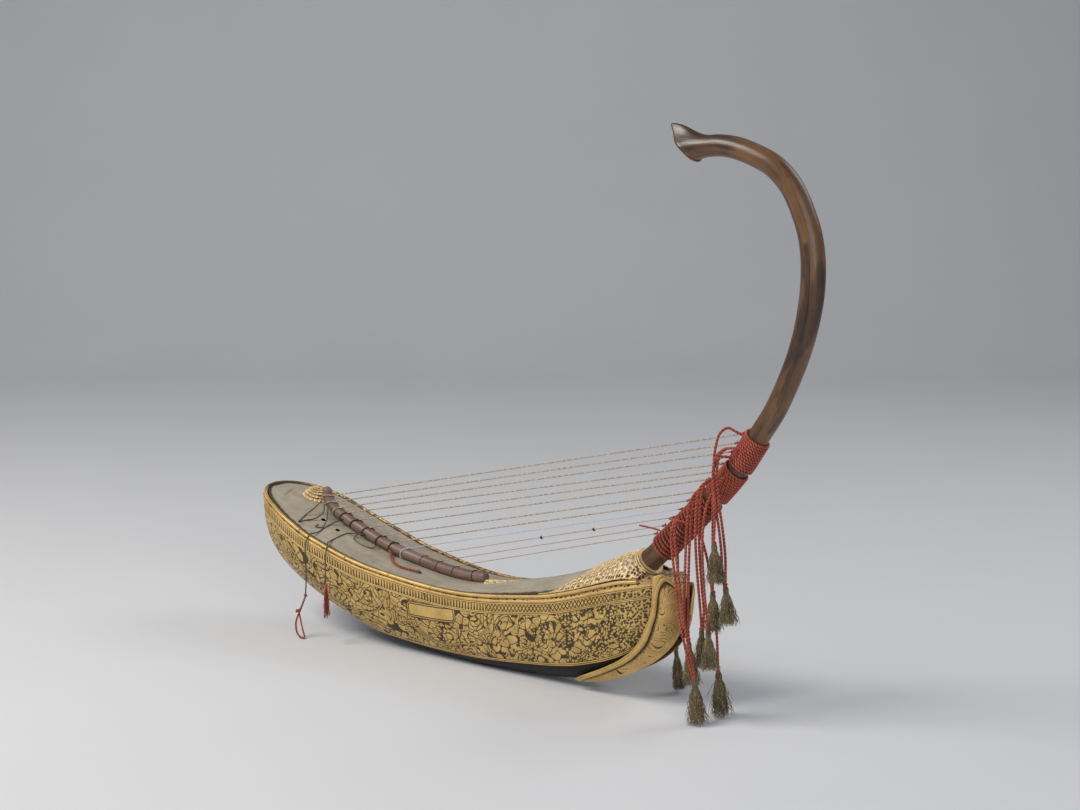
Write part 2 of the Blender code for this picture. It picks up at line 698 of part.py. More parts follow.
def make_rim_bead():
    stop = collar_share() + RIM_BEAD_RUN / HULL_LENGTH
    lift = GAP + FACET + RIM_BEAD_DIAMETER / 2
    near = []
    for s in STATIONS:
        if RIM_BEAD_INSET / HULL_LENGTH + 0.001 < s < stop:
            y = half_width(s, RIM_BEAD_INSET)
            near.append(on_deck(s, -y, lift))
    tip = on_deck(RIM_BEAD_INSET / HULL_LENGTH, 0.0, lift)
    far = [Vector((p.x, -p.y, p.z)) for p in near]
    tube("rim_bead", near[::-1] + [tip] + far, RIM_BEAD_DIAMETER, gilt(), resolution=1)


def stem_leaf(name, side):
    """Leaf-shaped gilt relief that wraps one side of the stem."""
    rows = 16
    columns = 8
    seat = GAP + FACET * 2
    outer = []
    inner = []
    for i in range(rows + 1):
        u = LEAF_POINT + (1.0 - LEAF_POINT) * i / rows
        for j in range(columns + 1):
            v = j / columns
            place, normal = leaf_surface(u, v)
            swell = 0.5 + 0.5 * sin(pi * v) ** 0.7
            inner.append(place + normal * seat)
            outer.append(place + normal * (seat + LEAF_THICKNESS * swell))
    wide = columns + 1
    vertices = [(p.x, side * p.y, p.z) for p in outer + inner]
    shift = len(outer)
    faces = []
    for i in range(rows):
        for j in range(columns):
            a = i * wide + j
            faces.append([a, a + 1, a + wide + 1, a + wide])
            faces.append([shift + a, shift + a + wide, shift + a + wide + 1, shift + a + 1])
    border = [j for j in range(columns)]
    border += [i * wide + columns for i in range(rows)]
    border += [rows * wide + j for j in range(columns, 0, -1)]
    border += [i * wide for i in range(rows, 0, -1)]
    for k, a in enumerate(border):
        b = border[(k + 1) % len(border)]
        faces.append([a, b, shift + b, shift + a])
    mesh_object(name, vertices, faces, gilt())


def hull_side(s, z):
    """Distance of the body's side from the plane of symmetry, at a height."""
    top = rim_z(s)
    low = keel_z(s)
    share = min(max((top - z) / (top - low), 0.0), 1.0)
    return half_width(s) * (1.0 - share**SECTION_POWER) ** (1 / SECTION_POWER)


def leaf_place(u, v):
    """Point on the body's side under the leaf: u from point to lobe, v from groove to stem."""
    across = 1.0 - (1.0 - v) ** LEAF_CURVE
    groove_s = spline_value([(a, b) for a, b, c in LEAF_GROOVE], u)
    groove_z = spline_value([(a, c) for a, b, c in LEAF_GROOVE], u) * HULL_HEIGHT
    edge_s = spline_value([(a, b) for a, b, c in LEAF_EDGE], u)
    edge_z = spline_value([(a, c) for a, b, c in LEAF_EDGE], u) * HULL_HEIGHT
    s = groove_s + (edge_s - groove_s) * across
    lobe = LEAF_LOBE * sin(pi * v) * max(u - LEAF_LOBE_START, 0.0) / (1.0 - LEAF_LOBE_START)
    z = groove_z + (edge_z - groove_z) * across + lobe
    return Vector((hull_x(s), max(hull_side(s, z), LEAF_SPLIT / 2), z))


def leaf_surface(u, v):
    """Place and outward normal on the body under a point of the leaf."""
    step = 0.02
    rise = leaf_place(min(u + step, 1.0), v) - leaf_place(max(u - step, 0.0), v)
    across = leaf_place(u, min(v + step, 1.0)) - leaf_place(u, max(v - step, 0.0))
    normal = across.cross(rise).normalized()
    if normal.y < 0:
        normal = -normal
    return leaf_place(u, v), normal


def bar_point(t):
    """Centre of the bar, high enough for a string's turn to clear the sloping skin."""
    x = hull_x(0.0) + BAR_TAIL_OFFSET + BAR_LENGTH * (1.0 - t)
    s = hull_share(x)
    step = 0.001
    ds = step / HULL_LENGTH
    rise = (deck_z(s + ds, 0.0) - deck_z(s - ds, 0.0)) / (2 * step)
    lift = skin_top() + GAP + FACET + tie_radius(bar_radius(t)) + STRING_DIAMETER / 2
    return Vector((x, 0.0, facet_z(s) + lift * sqrt(1.0 + rise * rise)))


def tie_radius(radius):
    """Radius at the corners of a string's turn round the bar."""
    return (radius + GAP + FACET + STRING_DIAMETER / 2) / cos(pi / TIE_POINTS)


def bar_radius(t):
    share = min(t / BAR_TAPER_END, 1.0)
    return (BAR_NECK_DIAMETER + (BAR_DIAMETER - BAR_NECK_DIAMETER) * share) / 2


def bar_line():
    """Centres and radii of the bar from its neck end to the tip of its hook."""
    count = 24
    places = [(bar_point(k / count), bar_radius(k / count)) for k in range(count + 1)]
    end = places[-1][0]
    for reach, rise, girth in HOOK_PROFILE:
        spot = end + Vector((-BAR_HOOK_REACH * reach, 0.0, BAR_HOOK_HEIGHT * rise))
        places.append((spot, BAR_DIAMETER / 2 * girth))
    return places


def bar_direction(line, k):
    return (line[min(k + 1, len(line) - 1)][0] - line[max(k - 1, 0)][0]).normalized()


def make_bar():
    line = bar_line()
    rings = []
    side = Vector((0.0, 1.0, 0.0))
    for k, (place, radius) in enumerate(line):
        across = bar_direction(line, k).cross(side)
        rings.append(round_ring(place, across, side, radius, radius, 12))
    loft("string_bar", rings, bar_wood())


def bar_length(line):
    return sum((b[0] - a[0]).length for a, b in zip(line, line[1:]))


def bar_frame(line, distance):
    """Centre, radius and upper side of the bar at a distance from its neck end."""
    k = 0
    span = (line[1][0] - line[0][0]).length
    while distance > span and k < len(line) - 2:
        distance -= span
        k += 1
        span = (line[k + 1][0] - line[k][0]).length
    share = distance / span
    centre = line[k][0].lerp(line[k + 1][0], share)
    radius = line[k][1] * (1.0 - share) + line[k + 1][1] * share
    direction = bar_direction(line, k).lerp(bar_direction(line, k + 1), share)
    return centre, radius, Vector((0.0, 1.0, 0.0)).cross(direction).normalized()


def tie_turns(line, distance, turns):
    """Turn of a string round the bar, from its upper side, over the far side."""
    total = int(turns * TIE_POINTS)
    side = Vector((0.0, 1.0, 0.0))
    path = []
    for k in range(total + 1):
        angle = 2 * pi * k / TIE_POINTS
        centre, radius, above = bar_frame(line, distance + TIE_PITCH_AXIAL * k / TIE_POINTS)
        radius = tie_radius(radius)
        path.append(centre + side * (radius * sin(angle)) + above * (radius * cos(angle)))
    return path


def wind_start(index):
    """Distance along the neck at which a winding starts, from the collar up."""
    loose = wind_length(0) + LOOSE_WIND_SPACE
    tight = wind_length(WIND_LOOSE_COUNT) + WIND_SPACE
    group = (STRING_COUNT - WIND_LOOSE_COUNT) // 2
    start = WIND_FIRST + loose * min(index, WIND_LOOSE_COUNT)
    if index >= WIND_LOOSE_COUNT:
        start += WIND_GROUP_GAP + tight * (index - WIND_LOOSE_COUNT)
    if index >= WIND_LOOSE_COUNT + group:
        start += WIND_GROUP_GAP
    return start


def wind_pitch(index):
    return CORD_DIAMETER + (LOOSE_TURN_GAP if index < WIND_LOOSE_COUNT else TURN_GAP)


def wind_turns(index):
    return LOOSE_WIND_TURNS if index < WIND_LOOSE_COUNT else WIND_TURNS


def wind_length(index):
    return wind_pitch(index) * wind_turns(index) + CORD_DIAMETER


def wind_middle(index):
    return wind_start(index) + wind_length(index) / 2


def wind_radius(path, index):
    """Radius of a winding's centre line round the neck."""
    return neck_radius(path, wind_middle(index)) + WIND_CLEARANCE + CORD_DIAMETER / 2


def winding_path(path, index):
    """Helix round the neck, with straight ends one cord diameter long."""
    radius = wind_radius(path, index)
    pitch = wind_pitch(index)
    start = wind_start(index) + CORD_DIAMETER / 2
    points = []
    for k in range(wind_turns(index) * WIND_POINTS + 1):
        angle = 2 * pi * k / WIND_POINTS + pi / 2
        place, tangent, normal = along(path, start + pitch * k / WIND_POINTS)
        points.append(place + normal * (radius * cos(angle)) + Vector((0, radius * sin(angle), 0)))
    first = (points[0] - points[1]).normalized() * CORD_DIAMETER
    last = (points[-1] - points[-2]).normalized() * CORD_DIAMETER
    return [points[0] + first] + points + [points[-1] + last]


def least_self_gap(points, diameter):
    """Least clear distance between stretches of a tube that are not neighbours."""
    least = 1.0
    lengths = [0.0]
    for a, b in zip(points, points[1:]):
        lengths.append(lengths[-1] + (b - a).length)
    for i, a in enumerate(points):
        for j in range(i + 1, len(points)):
            if lengths[j] - lengths[i] > diameter * 4:
                least = min(least, (a - points[j]).length)
    return least - diameter


def make_windings(path):
    least = 1.0
    for index in range(STRING_COUNT):
        points = winding_path(path, index)
        least = min(least, least_self_gap(points, CORD_DIAMETER))
        tube("tuning_cord_%02d" % (index + 1), points, CORD_DIAMETER, red_cord(), resolution=1)
    print("least gap of a winding to itself: %.2f mm" % (least * 1000))


def make_strings(path):
    line = bar_line()
    for index in range(STRING_COUNT):
        turns = tie_turns(line, bar_length(line) * TIE_PLACES[index], TIE_TURNS)
        place, tangent, normal = along(path, wind_middle(index))
        outer = wind_radius(path, index) + CORD_DIAMETER / 2 + GAP
        top = turns[0]
        aim = (top - place - normal * outer).normalized()
        slant = sqrt(1.0 - aim.dot(normal) ** 2)
        start = place + normal * (outer + STRING_DIAMETER / 2 / slant)
        route = [start, start.lerp(top, 0.5), start.lerp(top, STRING_BEND_PLACE)] + turns
        tube("string_%02d" % (index + 1), route, STRING_DIAMETER, gut(), resolution=1)
    spare = tie_turns(line, SPARE_TIE_SPACE, TIE_TURNS)
    tube("spare_tie", spare, STRING_DIAMETER, dark_cord(), resolution=1)


def make_neck(path):
    count = 16
    side = Vector((0.0, 1.0, 0.0))
    base, tangent, normal = along(path, 0.0)
    total = neck_length(path)
    foot = base - tangent * NECK_FOOT
    radius = neck_radius(path, 0.0)
    rings = [round_ring(foot, normal, side, radius, radius, count)]
    steps = 28
    for k in range(steps + 1):
        distance = total * k / steps
        place, tangent, normal = along(path, distance)
        radius = neck_radius(path, distance)
        rings.append(round_ring(place, normal, side, radius, radius, count))
    place, tangent, normal = along(path, total)
    rings += finial_rings(place, tangent, normal, radius, count)
    neck = loft("neck", rings, root_wood())
    start = total * HOLLOW_PLACE
    hollow = []
    for k in range(9):
        spot, along_t, along_n = along(path, start + HOLLOW_LENGTH * k / 8)
        depth = neck_radius(path, start)
        out = along_n * cos(HOLLOW_ANGLE) - side * sin(HOLLOW_ANGLE)
        girth = HOLLOW_DIAMETER / 2 * sin(pi * (HOLLOW_END + (1.0 - HOLLOW_END * 2) * k / 8))
        centre = spot + out * depth
        hollow.append(round_ring(centre, out, along_t.cross(out), girth, girth * 0.7, 8))
    cut(neck, loft("guide_neck_hollow", hollow, root_wood()))


def finial_rings(place, tangent, normal, radius, count):
    """Flare of the neck's end into an upright leaf that faces the tail."""
    side = Vector((0.0, 1.0, 0.0))
    up = Vector((-sin(FINIAL_LEAN), 0.0, cos(FINIAL_LEAN)))
    rings = []
    face = place + tangent * (FINIAL_LENGTH * FINIAL_FLARE)
    for share, size in FINIAL_STAGES:
        centre = place.lerp(face, share)
        leaning = (normal * -1.0).lerp(up, size).normalized()
        ring = []
        for j in range(count):
            angle = 2 * pi * j / count
            tall = -cos(angle)
            point = max(tall, 0.0)
            rise = FINIAL_LENGTH * (FINIAL_RISE * tall + FINIAL_POINT * point**5)
            wide = FINIAL_WIDTH / 2 * sin(angle) * (1.0 - FINIAL_NARROWING * point**2)
            rise = radius * tall * (1 - size) + rise * size
            wide = radius * sin(angle) * (1 - size) + wide * size
            ring.append(centre + leaning * rise + side * wide)
        rings.append(ring)
    lip = [p + tangent * FINIAL_LIP for p in rings[-1]]
    rings.append(lip)
    middle = face + tangent * FINIAL_LIP
    rings.append([middle.lerp(p, 0.80) - tangent * FINIAL_DISH for p in lip])
    return rings


def make_collar(path):
    base, tangent, normal = along(path, 0.0)
    inner = neck_radius(path, 0.0) + GAP * 2
    outer = COLLAR_DIAMETER / 2
    count = 18
    side = Vector((0.0, 1.0, 0.0))
    rings = []
    for shift, rise in COLLAR_PROFILE:
        radius = inner + (outer - inner) * rise
        middle = base + tangent * (COLLAR_LENGTH / 2 * shift)
        rings.append(round_ring(middle, normal, side, radius, radius, count))
    vertices = [p for ring in rings for p in ring]
    faces = []
    for i in range(len(rings)):
        following = (i + 1) % len(rings)
        for j in range(count):
            after = (j + 1) % count
            near = i * count
            far = following * count
            faces.append([near + j, near + after, far + after, far + j])
    mesh_object("neck_collar", vertices, faces, gilt())


def make_rosette():
    """Domed rosette of petals on the skin behind the bar's hook."""
    end = bar_point(1.0)
    x = end.x - BAR_HOOK_REACH - BAR_DIAMETER / 2 - ROSETTE_DIAMETER / 2 - ROSETTE_SPACE
    s = hull_share(x)
    foot = on_deck(s, ROSETTE_SIDE, skin_top() + GAP + FACET)
    up = (foot - on_deck(s, ROSETTE_SIDE, 0.0)).normalized()
    front = Vector((0.0, 1.0, 0.0)).cross(up).normalized()
    side = up.cross(front)
    count = 24
    rings = []
    for height, size in ROSETTE_PROFILE:
        ring = []
        for j in range(count):
            angle = 2 * pi * j / count
            petal = 1.0 - 0.09 * size * (1 + cos(angle * ROSETTE_PETALS)) / 2
            radius = ROSETTE_DIAMETER / 2 * size * petal
            flat = foot + front * (radius * cos(angle)) + side * (radius * sin(angle))
            ring.append(flat + up * (ROSETTE_HEIGHT * height))
        rings.append(ring)
    loft("tail_rosette", rings, gilt())


def make_bar_relief():
    """Thin gilt arrow on the skin's ridge in front of the string bar."""
    start = bar_point(0.0).x + GAP * 3
    lift = skin_top() + GAP + FACET
    rows = []
    for k in range(7):
        share = k / 6
        half = BAR_RELIEF_WIDTH / 2 * (1.0 - share) ** BAR_RELIEF_CURVE + GAP
        s = hull_share(start + BAR_RELIEF_LENGTH * share)
        rows.append([(hull_x(s), y, facet_z(s) + lift) for y in (-half, 0.0, half)])
    vertices, faces = bridge_rows(rows)
    thick_sheet("bar_end_relief", vertices, faces, BAR_RELIEF_THICKNESS, gilt())


def tassel(name, top, low, diameter, material):
    """Tassel: a bound head over a skirt of threads that flares a little."""
    top = Vector(top)
    axis = (Vector(low) - top).normalized()
    length = (Vector(low) - top).length
    across = axis.cross(Vector((0.0, 1.0, 0.0))).normalized()
    side = axis.cross(across)
    rings = []
    for share, size in TASSEL_PROFILE:
        radius = diameter / 2 * size
        rings.append(round_ring(top + axis * (length * share), across, side, radius, radius, 8))
    loft(name, rings, material)


def on_skin(points, diameter):
    """Points at stated heights above the skin, for a cord's middle."""
    lift = skin_top() + GAP + diameter / 2
    return [on_deck(hull_share(x), y, lift + height) for x, y, height in points]


def crown_distance(index, degrees):
    """Distance along the neck where a turn passes an angle, nearest the winding's middle."""
    first = wind_start(index) + CORD_DIAMETER / 2
    pitch = wind_pitch(index)
    share = (-degrees - 90.0) / 360.0 % 1.0
    turns = round((wind_middle(index) - first) / pitch - share)
    return first + pitch * (share + turns)


def make_hanging_cords(path):
    for number, (winding, degrees, route, low, diameter) in enumerate(HANGING_CORDS, 1):
        place, tangent, normal = along(path, crown_distance(winding - 1, degrees))
        outer = wind_radius(path, winding - 1) + CORD_DIAMETER / 2 + GAP
        angle = degrees * pi / 180
        away = normal * cos(angle) - Vector((0.0, sin(angle), 0.0))
        start = place + away * (outer + FACET)
        points = smooth_path([start + away * CORD_STUB] + list(route), CORD_POINTS)
        tube("hanging_cord_%d" % number, [start] + points, CORD_DIAMETER, red_cord())
        end = points[-1]
        down = (end - points[-2]).normalized()
        tassel("tassel_%d" % number, end + down * GAP, low, diameter, tassel_thread())


def make_tail_cords():
    thin = THIN_CORD_DIAMETER
    tie = [Vector(TAIL_TIE_TOP)] + on_skin(TAIL_TIE_ON_SKIN, thin)
    tube("tail_cord_tie", smooth_path(tie, 12), thin, dark_cord())
    long = on_skin(LONG_CORD_ON_SKIN, thin) + [Vector(p) for p in LONG_CORD_BELOW]
    tube("tail_cord_long", smooth_path(long, 22), thin, dark_cord())
    loop = smooth_path(RED_LOOP, 14)
    tube("tail_cord_red", loop, CORD_DIAMETER, red_cord())
    short = on_skin(SHORT_CORD_ON_SKIN, thin) + [Vector(p) for p in SHORT_CORD_BELOW]
    tube("tail_cord_short", smooth_path(short, 16), thin, dark_cord())
    top = Vector(SHORT_CORD_BELOW[-1]) - Vector((0.0, 0.0, GAP * 2))
    tassel("red_tail_tassel", top, RED_TASSEL_END, RED_TASSEL_DIAMETER, red_cord())
    loose = smooth_path(on_skin(LOOSE_CORD_ON_SKIN, CORD_DIAMETER), 12)
    tube("loose_red_cord", loose, CORD_DIAMETER, red_cord())


def main():
    clear_scene()
    path = neck_frame()
    seat, socket = make_cutters(path)
    make_hull(seat, socket)
    make_skin(seat)
    make_relief(seat)
    make_rim_bead()
    stem_leaf("stem_leaf_near", -1)
    stem_leaf("stem_leaf_far", 1)
    make_neck(path)
    make_collar(path)
    make_bar()
    make_rosette()
    make_bar_relief()
    make_windings(path)
    make_strings(path)
    make_hanging_cords(path)
    make_tail_cords()


main()
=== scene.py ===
"""Looks of a Burmese arched harp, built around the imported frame.

Metres, the frame's own axes: X from the tail to the neck, -Y the near side, Z up.
"""

from math import cos, floor, pi, sin, sqrt

import bpy
import numpy as np
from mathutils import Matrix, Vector


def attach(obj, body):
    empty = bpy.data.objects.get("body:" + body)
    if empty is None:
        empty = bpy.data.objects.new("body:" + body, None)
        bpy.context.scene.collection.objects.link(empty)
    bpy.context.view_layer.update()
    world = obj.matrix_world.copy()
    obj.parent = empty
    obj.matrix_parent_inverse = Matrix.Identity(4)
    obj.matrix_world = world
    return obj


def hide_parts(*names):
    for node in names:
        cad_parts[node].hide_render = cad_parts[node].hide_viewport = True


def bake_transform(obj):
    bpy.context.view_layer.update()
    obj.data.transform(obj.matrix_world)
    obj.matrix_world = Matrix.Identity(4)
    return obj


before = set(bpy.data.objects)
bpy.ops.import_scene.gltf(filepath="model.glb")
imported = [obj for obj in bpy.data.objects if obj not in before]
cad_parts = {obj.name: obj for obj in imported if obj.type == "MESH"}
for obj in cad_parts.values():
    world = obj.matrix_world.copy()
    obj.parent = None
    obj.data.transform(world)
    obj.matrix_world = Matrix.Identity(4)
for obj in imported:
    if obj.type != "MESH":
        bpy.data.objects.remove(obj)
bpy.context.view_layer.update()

# Body, as in the frame
HULL_LENGTH = 0.7905
HULL_WIDTH = 0.1640
HULL_HEIGHT = 0.2075
HULL_WALL = 0.0115
HULL_FLOOR = 0.0140
KEEL_FLAT_DEPTH = 0.0022
CAVITY_TAIL_BLOCK = 0.0750
CAVITY_NECK_BLOCK = 0.1060
DECK_CROWN = 0.0390
SECTION_POWER = 2.3
TAIL_ROUND = 0.0950
STEM_ROUND = 0.0470
END_WIDTH = 0.0030

# Table
SKIN_THICKNESS = 0.0016
SKIN_MARGIN = 0.0078
SKIN_NECK_SPACE = 0.0158
RIM_BEAD_DIAMETER = 0.0054
RIM_BEAD_INSET = 0.0034
RIM_BEAD_RUN = 0.0095
RELIEF_THICKNESS = 0.0024
RELIEF_TIP = 0.1400
RELIEF_DEPTH = 0.0850
SOUND_HOLE_DIAMETER = 0.0075
SOUND_HOLE_SPREAD = 0.0520
SOUND_HOLE_PITCH = 0.0300
SOUND_HOLE_SPACE = 0.0100

# Carved leaves on the stem
LEAF_THICKNESS = 0.0055
LEAF_SPLIT = 0.0060
LEAF_LOBE = 0.0070
LEAF_TIP = 0.075

# String bar
BAR_LENGTH = 0.2960
BAR_TAIL_OFFSET = 0.1445
BAR_DIAMETER = 0.0160
BAR_NECK_DIAMETER = 0.0110
BAR_TAPER_END = 0.625
BAR_HOOK_HEIGHT = 0.0440
BAR_HOOK_REACH = 0.0260
ROSETTE_DIAMETER = 0.0390
ROSETTE_HEIGHT = 0.0180
ROSETTE_SPACE = 0.0165
ROSETTE_SIDE = 0.0170
BAR_RELIEF_LENGTH = 0.0620
BAR_RELIEF_WIDTH = 0.0140

# Neck
NECK_REACH = 0.2472
NECK_RISE = 0.5705
NECK_DIAMETER = 0.0310
NECK_INSET = 0.0590
NECK_EXIT_DROP = 0.0095
NECK_FOOT = 0.0550
COLLAR_DIAMETER = 0.0430
COLLAR_LENGTH = 0.0085
FINIAL_LENGTH = 0.0660
FINIAL_WIDTH = 0.0560
FINIAL_LEAN = 0.8340
FINIAL_LIP = 0.0040
FINIAL_DISH = 0.0030
HOLLOW_DEPTH = 0.0042
HOLLOW_LENGTH = 0.1280
HOLLOW_PLACE = 0.545
HOLLOW_ANGLE = 1.76

# Strings and tuning cords
STRING_COUNT = 12
STRING_DIAMETER = 0.0013
SPARE_TIE_SPACE = 0.0200
TIE_PITCH_AXIAL = 0.0022
TIE_CORD_DIAMETER = 0.0017
CORD_DIAMETER = 0.0032
TURN_GAP = 0.0007
LOOSE_TURN_GAP = 0.0026
WIND_TURNS = 3
LOOSE_WIND_TURNS = 2
WIND_FIRST = 0.0340
WIND_LOOSE_COUNT = 6
WIND_GROUP_GAP = 0.0080
WIND_CLEARANCE = 0.0011
WIND_SPACE = 0.0012
LOOSE_WIND_SPACE = 0.0042
CORD_STUB = 0.0038
WIND_ROPE_DIAMETER = 0.0036
HANG_ROPE_DIAMETER = 0.0040
LOOSE_ROPE_DIAMETER = 0.0042
TWIN_CORDS = (2, 5, 6, 8)
THIN_CORD_DIAMETER = 0.0016
GAP = 0.0003
FACET = 0.0003

# Routes of the free cords: the same points as in the frame
HANGING_CORDS = (
    # winding, angle in degrees, route, lowest point of the tassel, tassel diameter
    (12, 30, ((0.3800, -0.0150, 0.4000), (0.3710, -0.0190, 0.4040), (0.3620, -0.0230, 0.3970),
              (0.3575, -0.0270, 0.3780), (0.3575, -0.0310, 0.3480), (0.3600, -0.0340, 0.3140),
              (0.3630, -0.0350, 0.2820), (0.3630, -0.0360, 0.2520)), (0.3690, -0.0360, 0.1960), 0.0160),
    (11, 60, ((0.3750, -0.0280, 0.3780), (0.3680, -0.0330, 0.3690), (0.3655, -0.0355, 0.3460),
              (0.3670, -0.0330, 0.3100), (0.3690, -0.0250, 0.2700), (0.3710, -0.0200, 0.2300),
              (0.3720, -0.0200, 0.1920)), (0.3780, -0.0210, 0.1380), 0.0150),
    (10, 60, ((0.3660, -0.0270, 0.3660), (0.3570, -0.0270, 0.3540), (0.3530, -0.0260, 0.3300),
              (0.3520, -0.0230, 0.2900), (0.3510, -0.0200, 0.2400), (0.3520, -0.0200, 0.1800)),
     (0.3540, -0.0190, 0.1240), 0.0150),
    (9, 90, ((0.3630, -0.0265, 0.3310), (0.3570, -0.0300, 0.3200), (0.3500, -0.0350, 0.3000),
             (0.3460, -0.0370, 0.2660), (0.3465, -0.0370, 0.2200), (0.3510, -0.0370, 0.1750),
             (0.3560, -0.0360, 0.1320)), (0.3600, -0.0350, 0.0760), 0.0150),
    (8, 60, ((0.3450, -0.0260, 0.3310), (0.3370, -0.0320, 0.3210), (0.3340, -0.0350, 0.2960),
             (0.3340, -0.0360, 0.2500), (0.3360, -0.0330, 0.2000), (0.3380, -0.0280, 0.1540),
             (0.3390, -0.0260, 0.1280)), (0.3410, -0.0240, 0.0730), 0.0140),
    (7, 90, ((0.3360, -0.0270, 0.3180), (0.3290, -0.0320, 0.3050), (0.3255, -0.0340, 0.2800),
             (0.3240, -0.0350, 0.2400), (0.3230, -0.0350, 0.1900), (0.3230, -0.0350, 0.1500),
             (0.3240, -0.0340, 0.1110)), (0.3300, -0.0330, 0.0480), 0.0135),
    (6, 90, ((0.3280, -0.0270, 0.2920), (0.3300, -0.0300, 0.2820), (0.3350, -0.0250, 0.2560),
             (0.3410, -0.0180, 0.2230), (0.3450, -0.0090, 0.1700), (0.3480, -0.0030, 0.1200),
             (0.3500, 0.0000, 0.0650)), (0.3540, 0.0040, 0.0006), 0.0180),
    (4, 90, ((0.2980, -0.0270, 0.2720), (0.2990, -0.0340, 0.2600), (0.3070, -0.0410, 0.2260),
             (0.3160, -0.0450, 0.1850), (0.3240, -0.0470, 0.1400), (0.3340, -0.0460, 0.1000),
             (0.3410, -0.0440, 0.0640)), (0.3460, -0.0420, 0.0006), 0.0170),
    (1, -120, ((0.2560, 0.0290, 0.2330), (0.2520, 0.0400, 0.2220), (0.2470, 0.0510, 0.1980),
               (0.2440, 0.0570, 0.1650), (0.2430, 0.0580, 0.1300), (0.2430, 0.0560, 0.0950),
               (0.2440, 0.0540, 0.0640)), (0.2520, 0.0520, 0.0040), 0.0120),
)
TASSEL_CORE = 0.0140
TAIL_TIE_ON_SKIN = ((-0.3850, -0.0290, 0.0080), (-0.3860, -0.0430, 0.0012), (-0.3830, -0.0530, 0.0006),
                    (-0.3790, -0.0620, 0.0004))
TAIL_TIE_TOP = (-0.3800, -0.0130, 0.1985)
LONG_CORD_ON_SKIN = ((-0.3500, -0.0240, 0.0006), (-0.3480, -0.0400, 0.0005), (-0.3440, -0.0560, 0.0010),
                     (-0.3420, -0.0690, 0.0034), (-0.3420, -0.0775, 0.0052))
LONG_CORD_BELOW = ((-0.3420, -0.0850, 0.1550), (-0.3420, -0.0875, 0.1420), (-0.3420, -0.0870, 0.1200),
                   (-0.3420, -0.0870, 0.0950), (-0.3440, -0.0870, 0.0700))
RED_LOOP = ((-0.3440, -0.0870, 0.0690), (-0.3500, -0.0872, 0.0560), (-0.3580, -0.0876, 0.0400),
            (-0.3650, -0.0882, 0.0220), (-0.3620, -0.0890, 0.0080), (-0.3540, -0.0895, 0.0020),
            (-0.3460, -0.0890, 0.0018))
SHORT_CORD_ON_SKIN = ((-0.3205, -0.0190, 0.0006), (-0.3195, -0.0360, 0.0005), (-0.3165, -0.0560, 0.0010),
                      (-0.3115, -0.0700, 0.0034), (-0.3060, -0.0780, 0.0052))
SHORT_CORD_BELOW = ((-0.3000, -0.0862, 0.1415), (-0.2985, -0.0888, 0.1290), (-0.2990, -0.0885, 0.0985))
RED_TASSEL_END = (-0.2985, -0.0885, 0.0410)
RED_TASSEL_DIAMETER = 0.0060
LOOSE_CORD_ON_SKIN = ((-0.2280, -0.0195, 0.0010), (-0.2140, -0.0290, 0.0008), (-0.1985, -0.0340, 0.0008),
                      (-0.1820, -0.0320, 0.0008), (-0.1640, -0.0280, 0.0008))

# Lines of the body and the neck, as in the frame
RIM_LINE = (
    (0.0, 1.0), (0.072, 0.924), (0.198, 0.750), (0.36, 0.600), (0.54, 0.537), (0.72, 0.6075),
    (0.9, 0.804), (0.942, 0.849), (0.968, 0.874), (0.984, 0.845), (0.995, 0.780), (1.0, 0.723),
)
KEEL_LINE = (
    (0.0, 0.760), (0.004, 0.690), (0.014, 0.620), (0.032, 0.545), (0.072, 0.436), (0.198, 0.223),
    (0.36, 0.0468), (0.565, 0.0), (0.72, 0.0328), (0.776, 0.058), (0.843, 0.123), (0.8865, 0.188),
    (0.929, 0.283), (0.951, 0.345), (0.971, 0.417), (0.984, 0.482), (0.993, 0.552), (1.0, 0.660),
)
WIDTH_LINE = (
    (0.0, 0.84), (0.072, 0.862), (0.14, 0.955), (0.198, 1.0), (0.26, 0.99), (0.36, 0.921),
    (0.54, 0.747), (0.72, 0.627), (0.9, 0.540), (1.0, 0.510),
)
CROWN_LINE = (
    (0.0, 0.0), (0.04, 0.07), (0.10, 0.16), (0.16, 0.20), (0.20, 0.14), (0.30, 0.02), (0.42, 0.0),
    (0.49, 0.03), (0.56, 0.13), (0.638, 0.33), (0.696, 0.46), (0.753, 0.61), (0.813, 0.72),
    (0.863, 0.90), (0.90, 1.0), (0.92, 0.66), (0.942, 0.20), (0.968, 0.0), (1.0, 0.0),
)
LEAF_GROOVE = (
    (0.0, 0.770, 0.060), (0.15, 0.807, 0.135), (0.30, 0.849, 0.212), (0.45, 0.8945, 0.313),
    (0.58, 0.9236, 0.405), (0.68, 0.9426, 0.492), (0.78, 0.9552, 0.593), (0.86, 0.9628, 0.665),
    (0.93, 0.9672, 0.790), (1.0, 0.9680, 0.922),
)
LEAF_EDGE = (
    (0.0, 0.772, 0.056), (0.20, 0.850, 0.131), (0.40, 0.915, 0.250), (0.55, 0.955, 0.357),
    (0.68, 0.984, 0.482), (0.78, 0.9965, 0.600), (0.88, 0.9990, 0.720), (0.95, 0.9975, 0.830),
    (1.0, 0.9900, 0.912),
)
NECK_LINE = (
    (0.0, 0.0), (0.093, 0.0386), (0.32, 0.139), (0.565, 0.258), (0.697, 0.343), (0.809, 0.421),
    (0.929, 0.543), (0.9935, 0.661), (1.0, 0.743), (0.979, 0.808), (0.932, 0.863), (0.862, 0.915),
    (0.7605, 0.957), (0.650, 0.980), (0.525, 0.996), (0.424, 1.0), (0.359, 0.998),
)
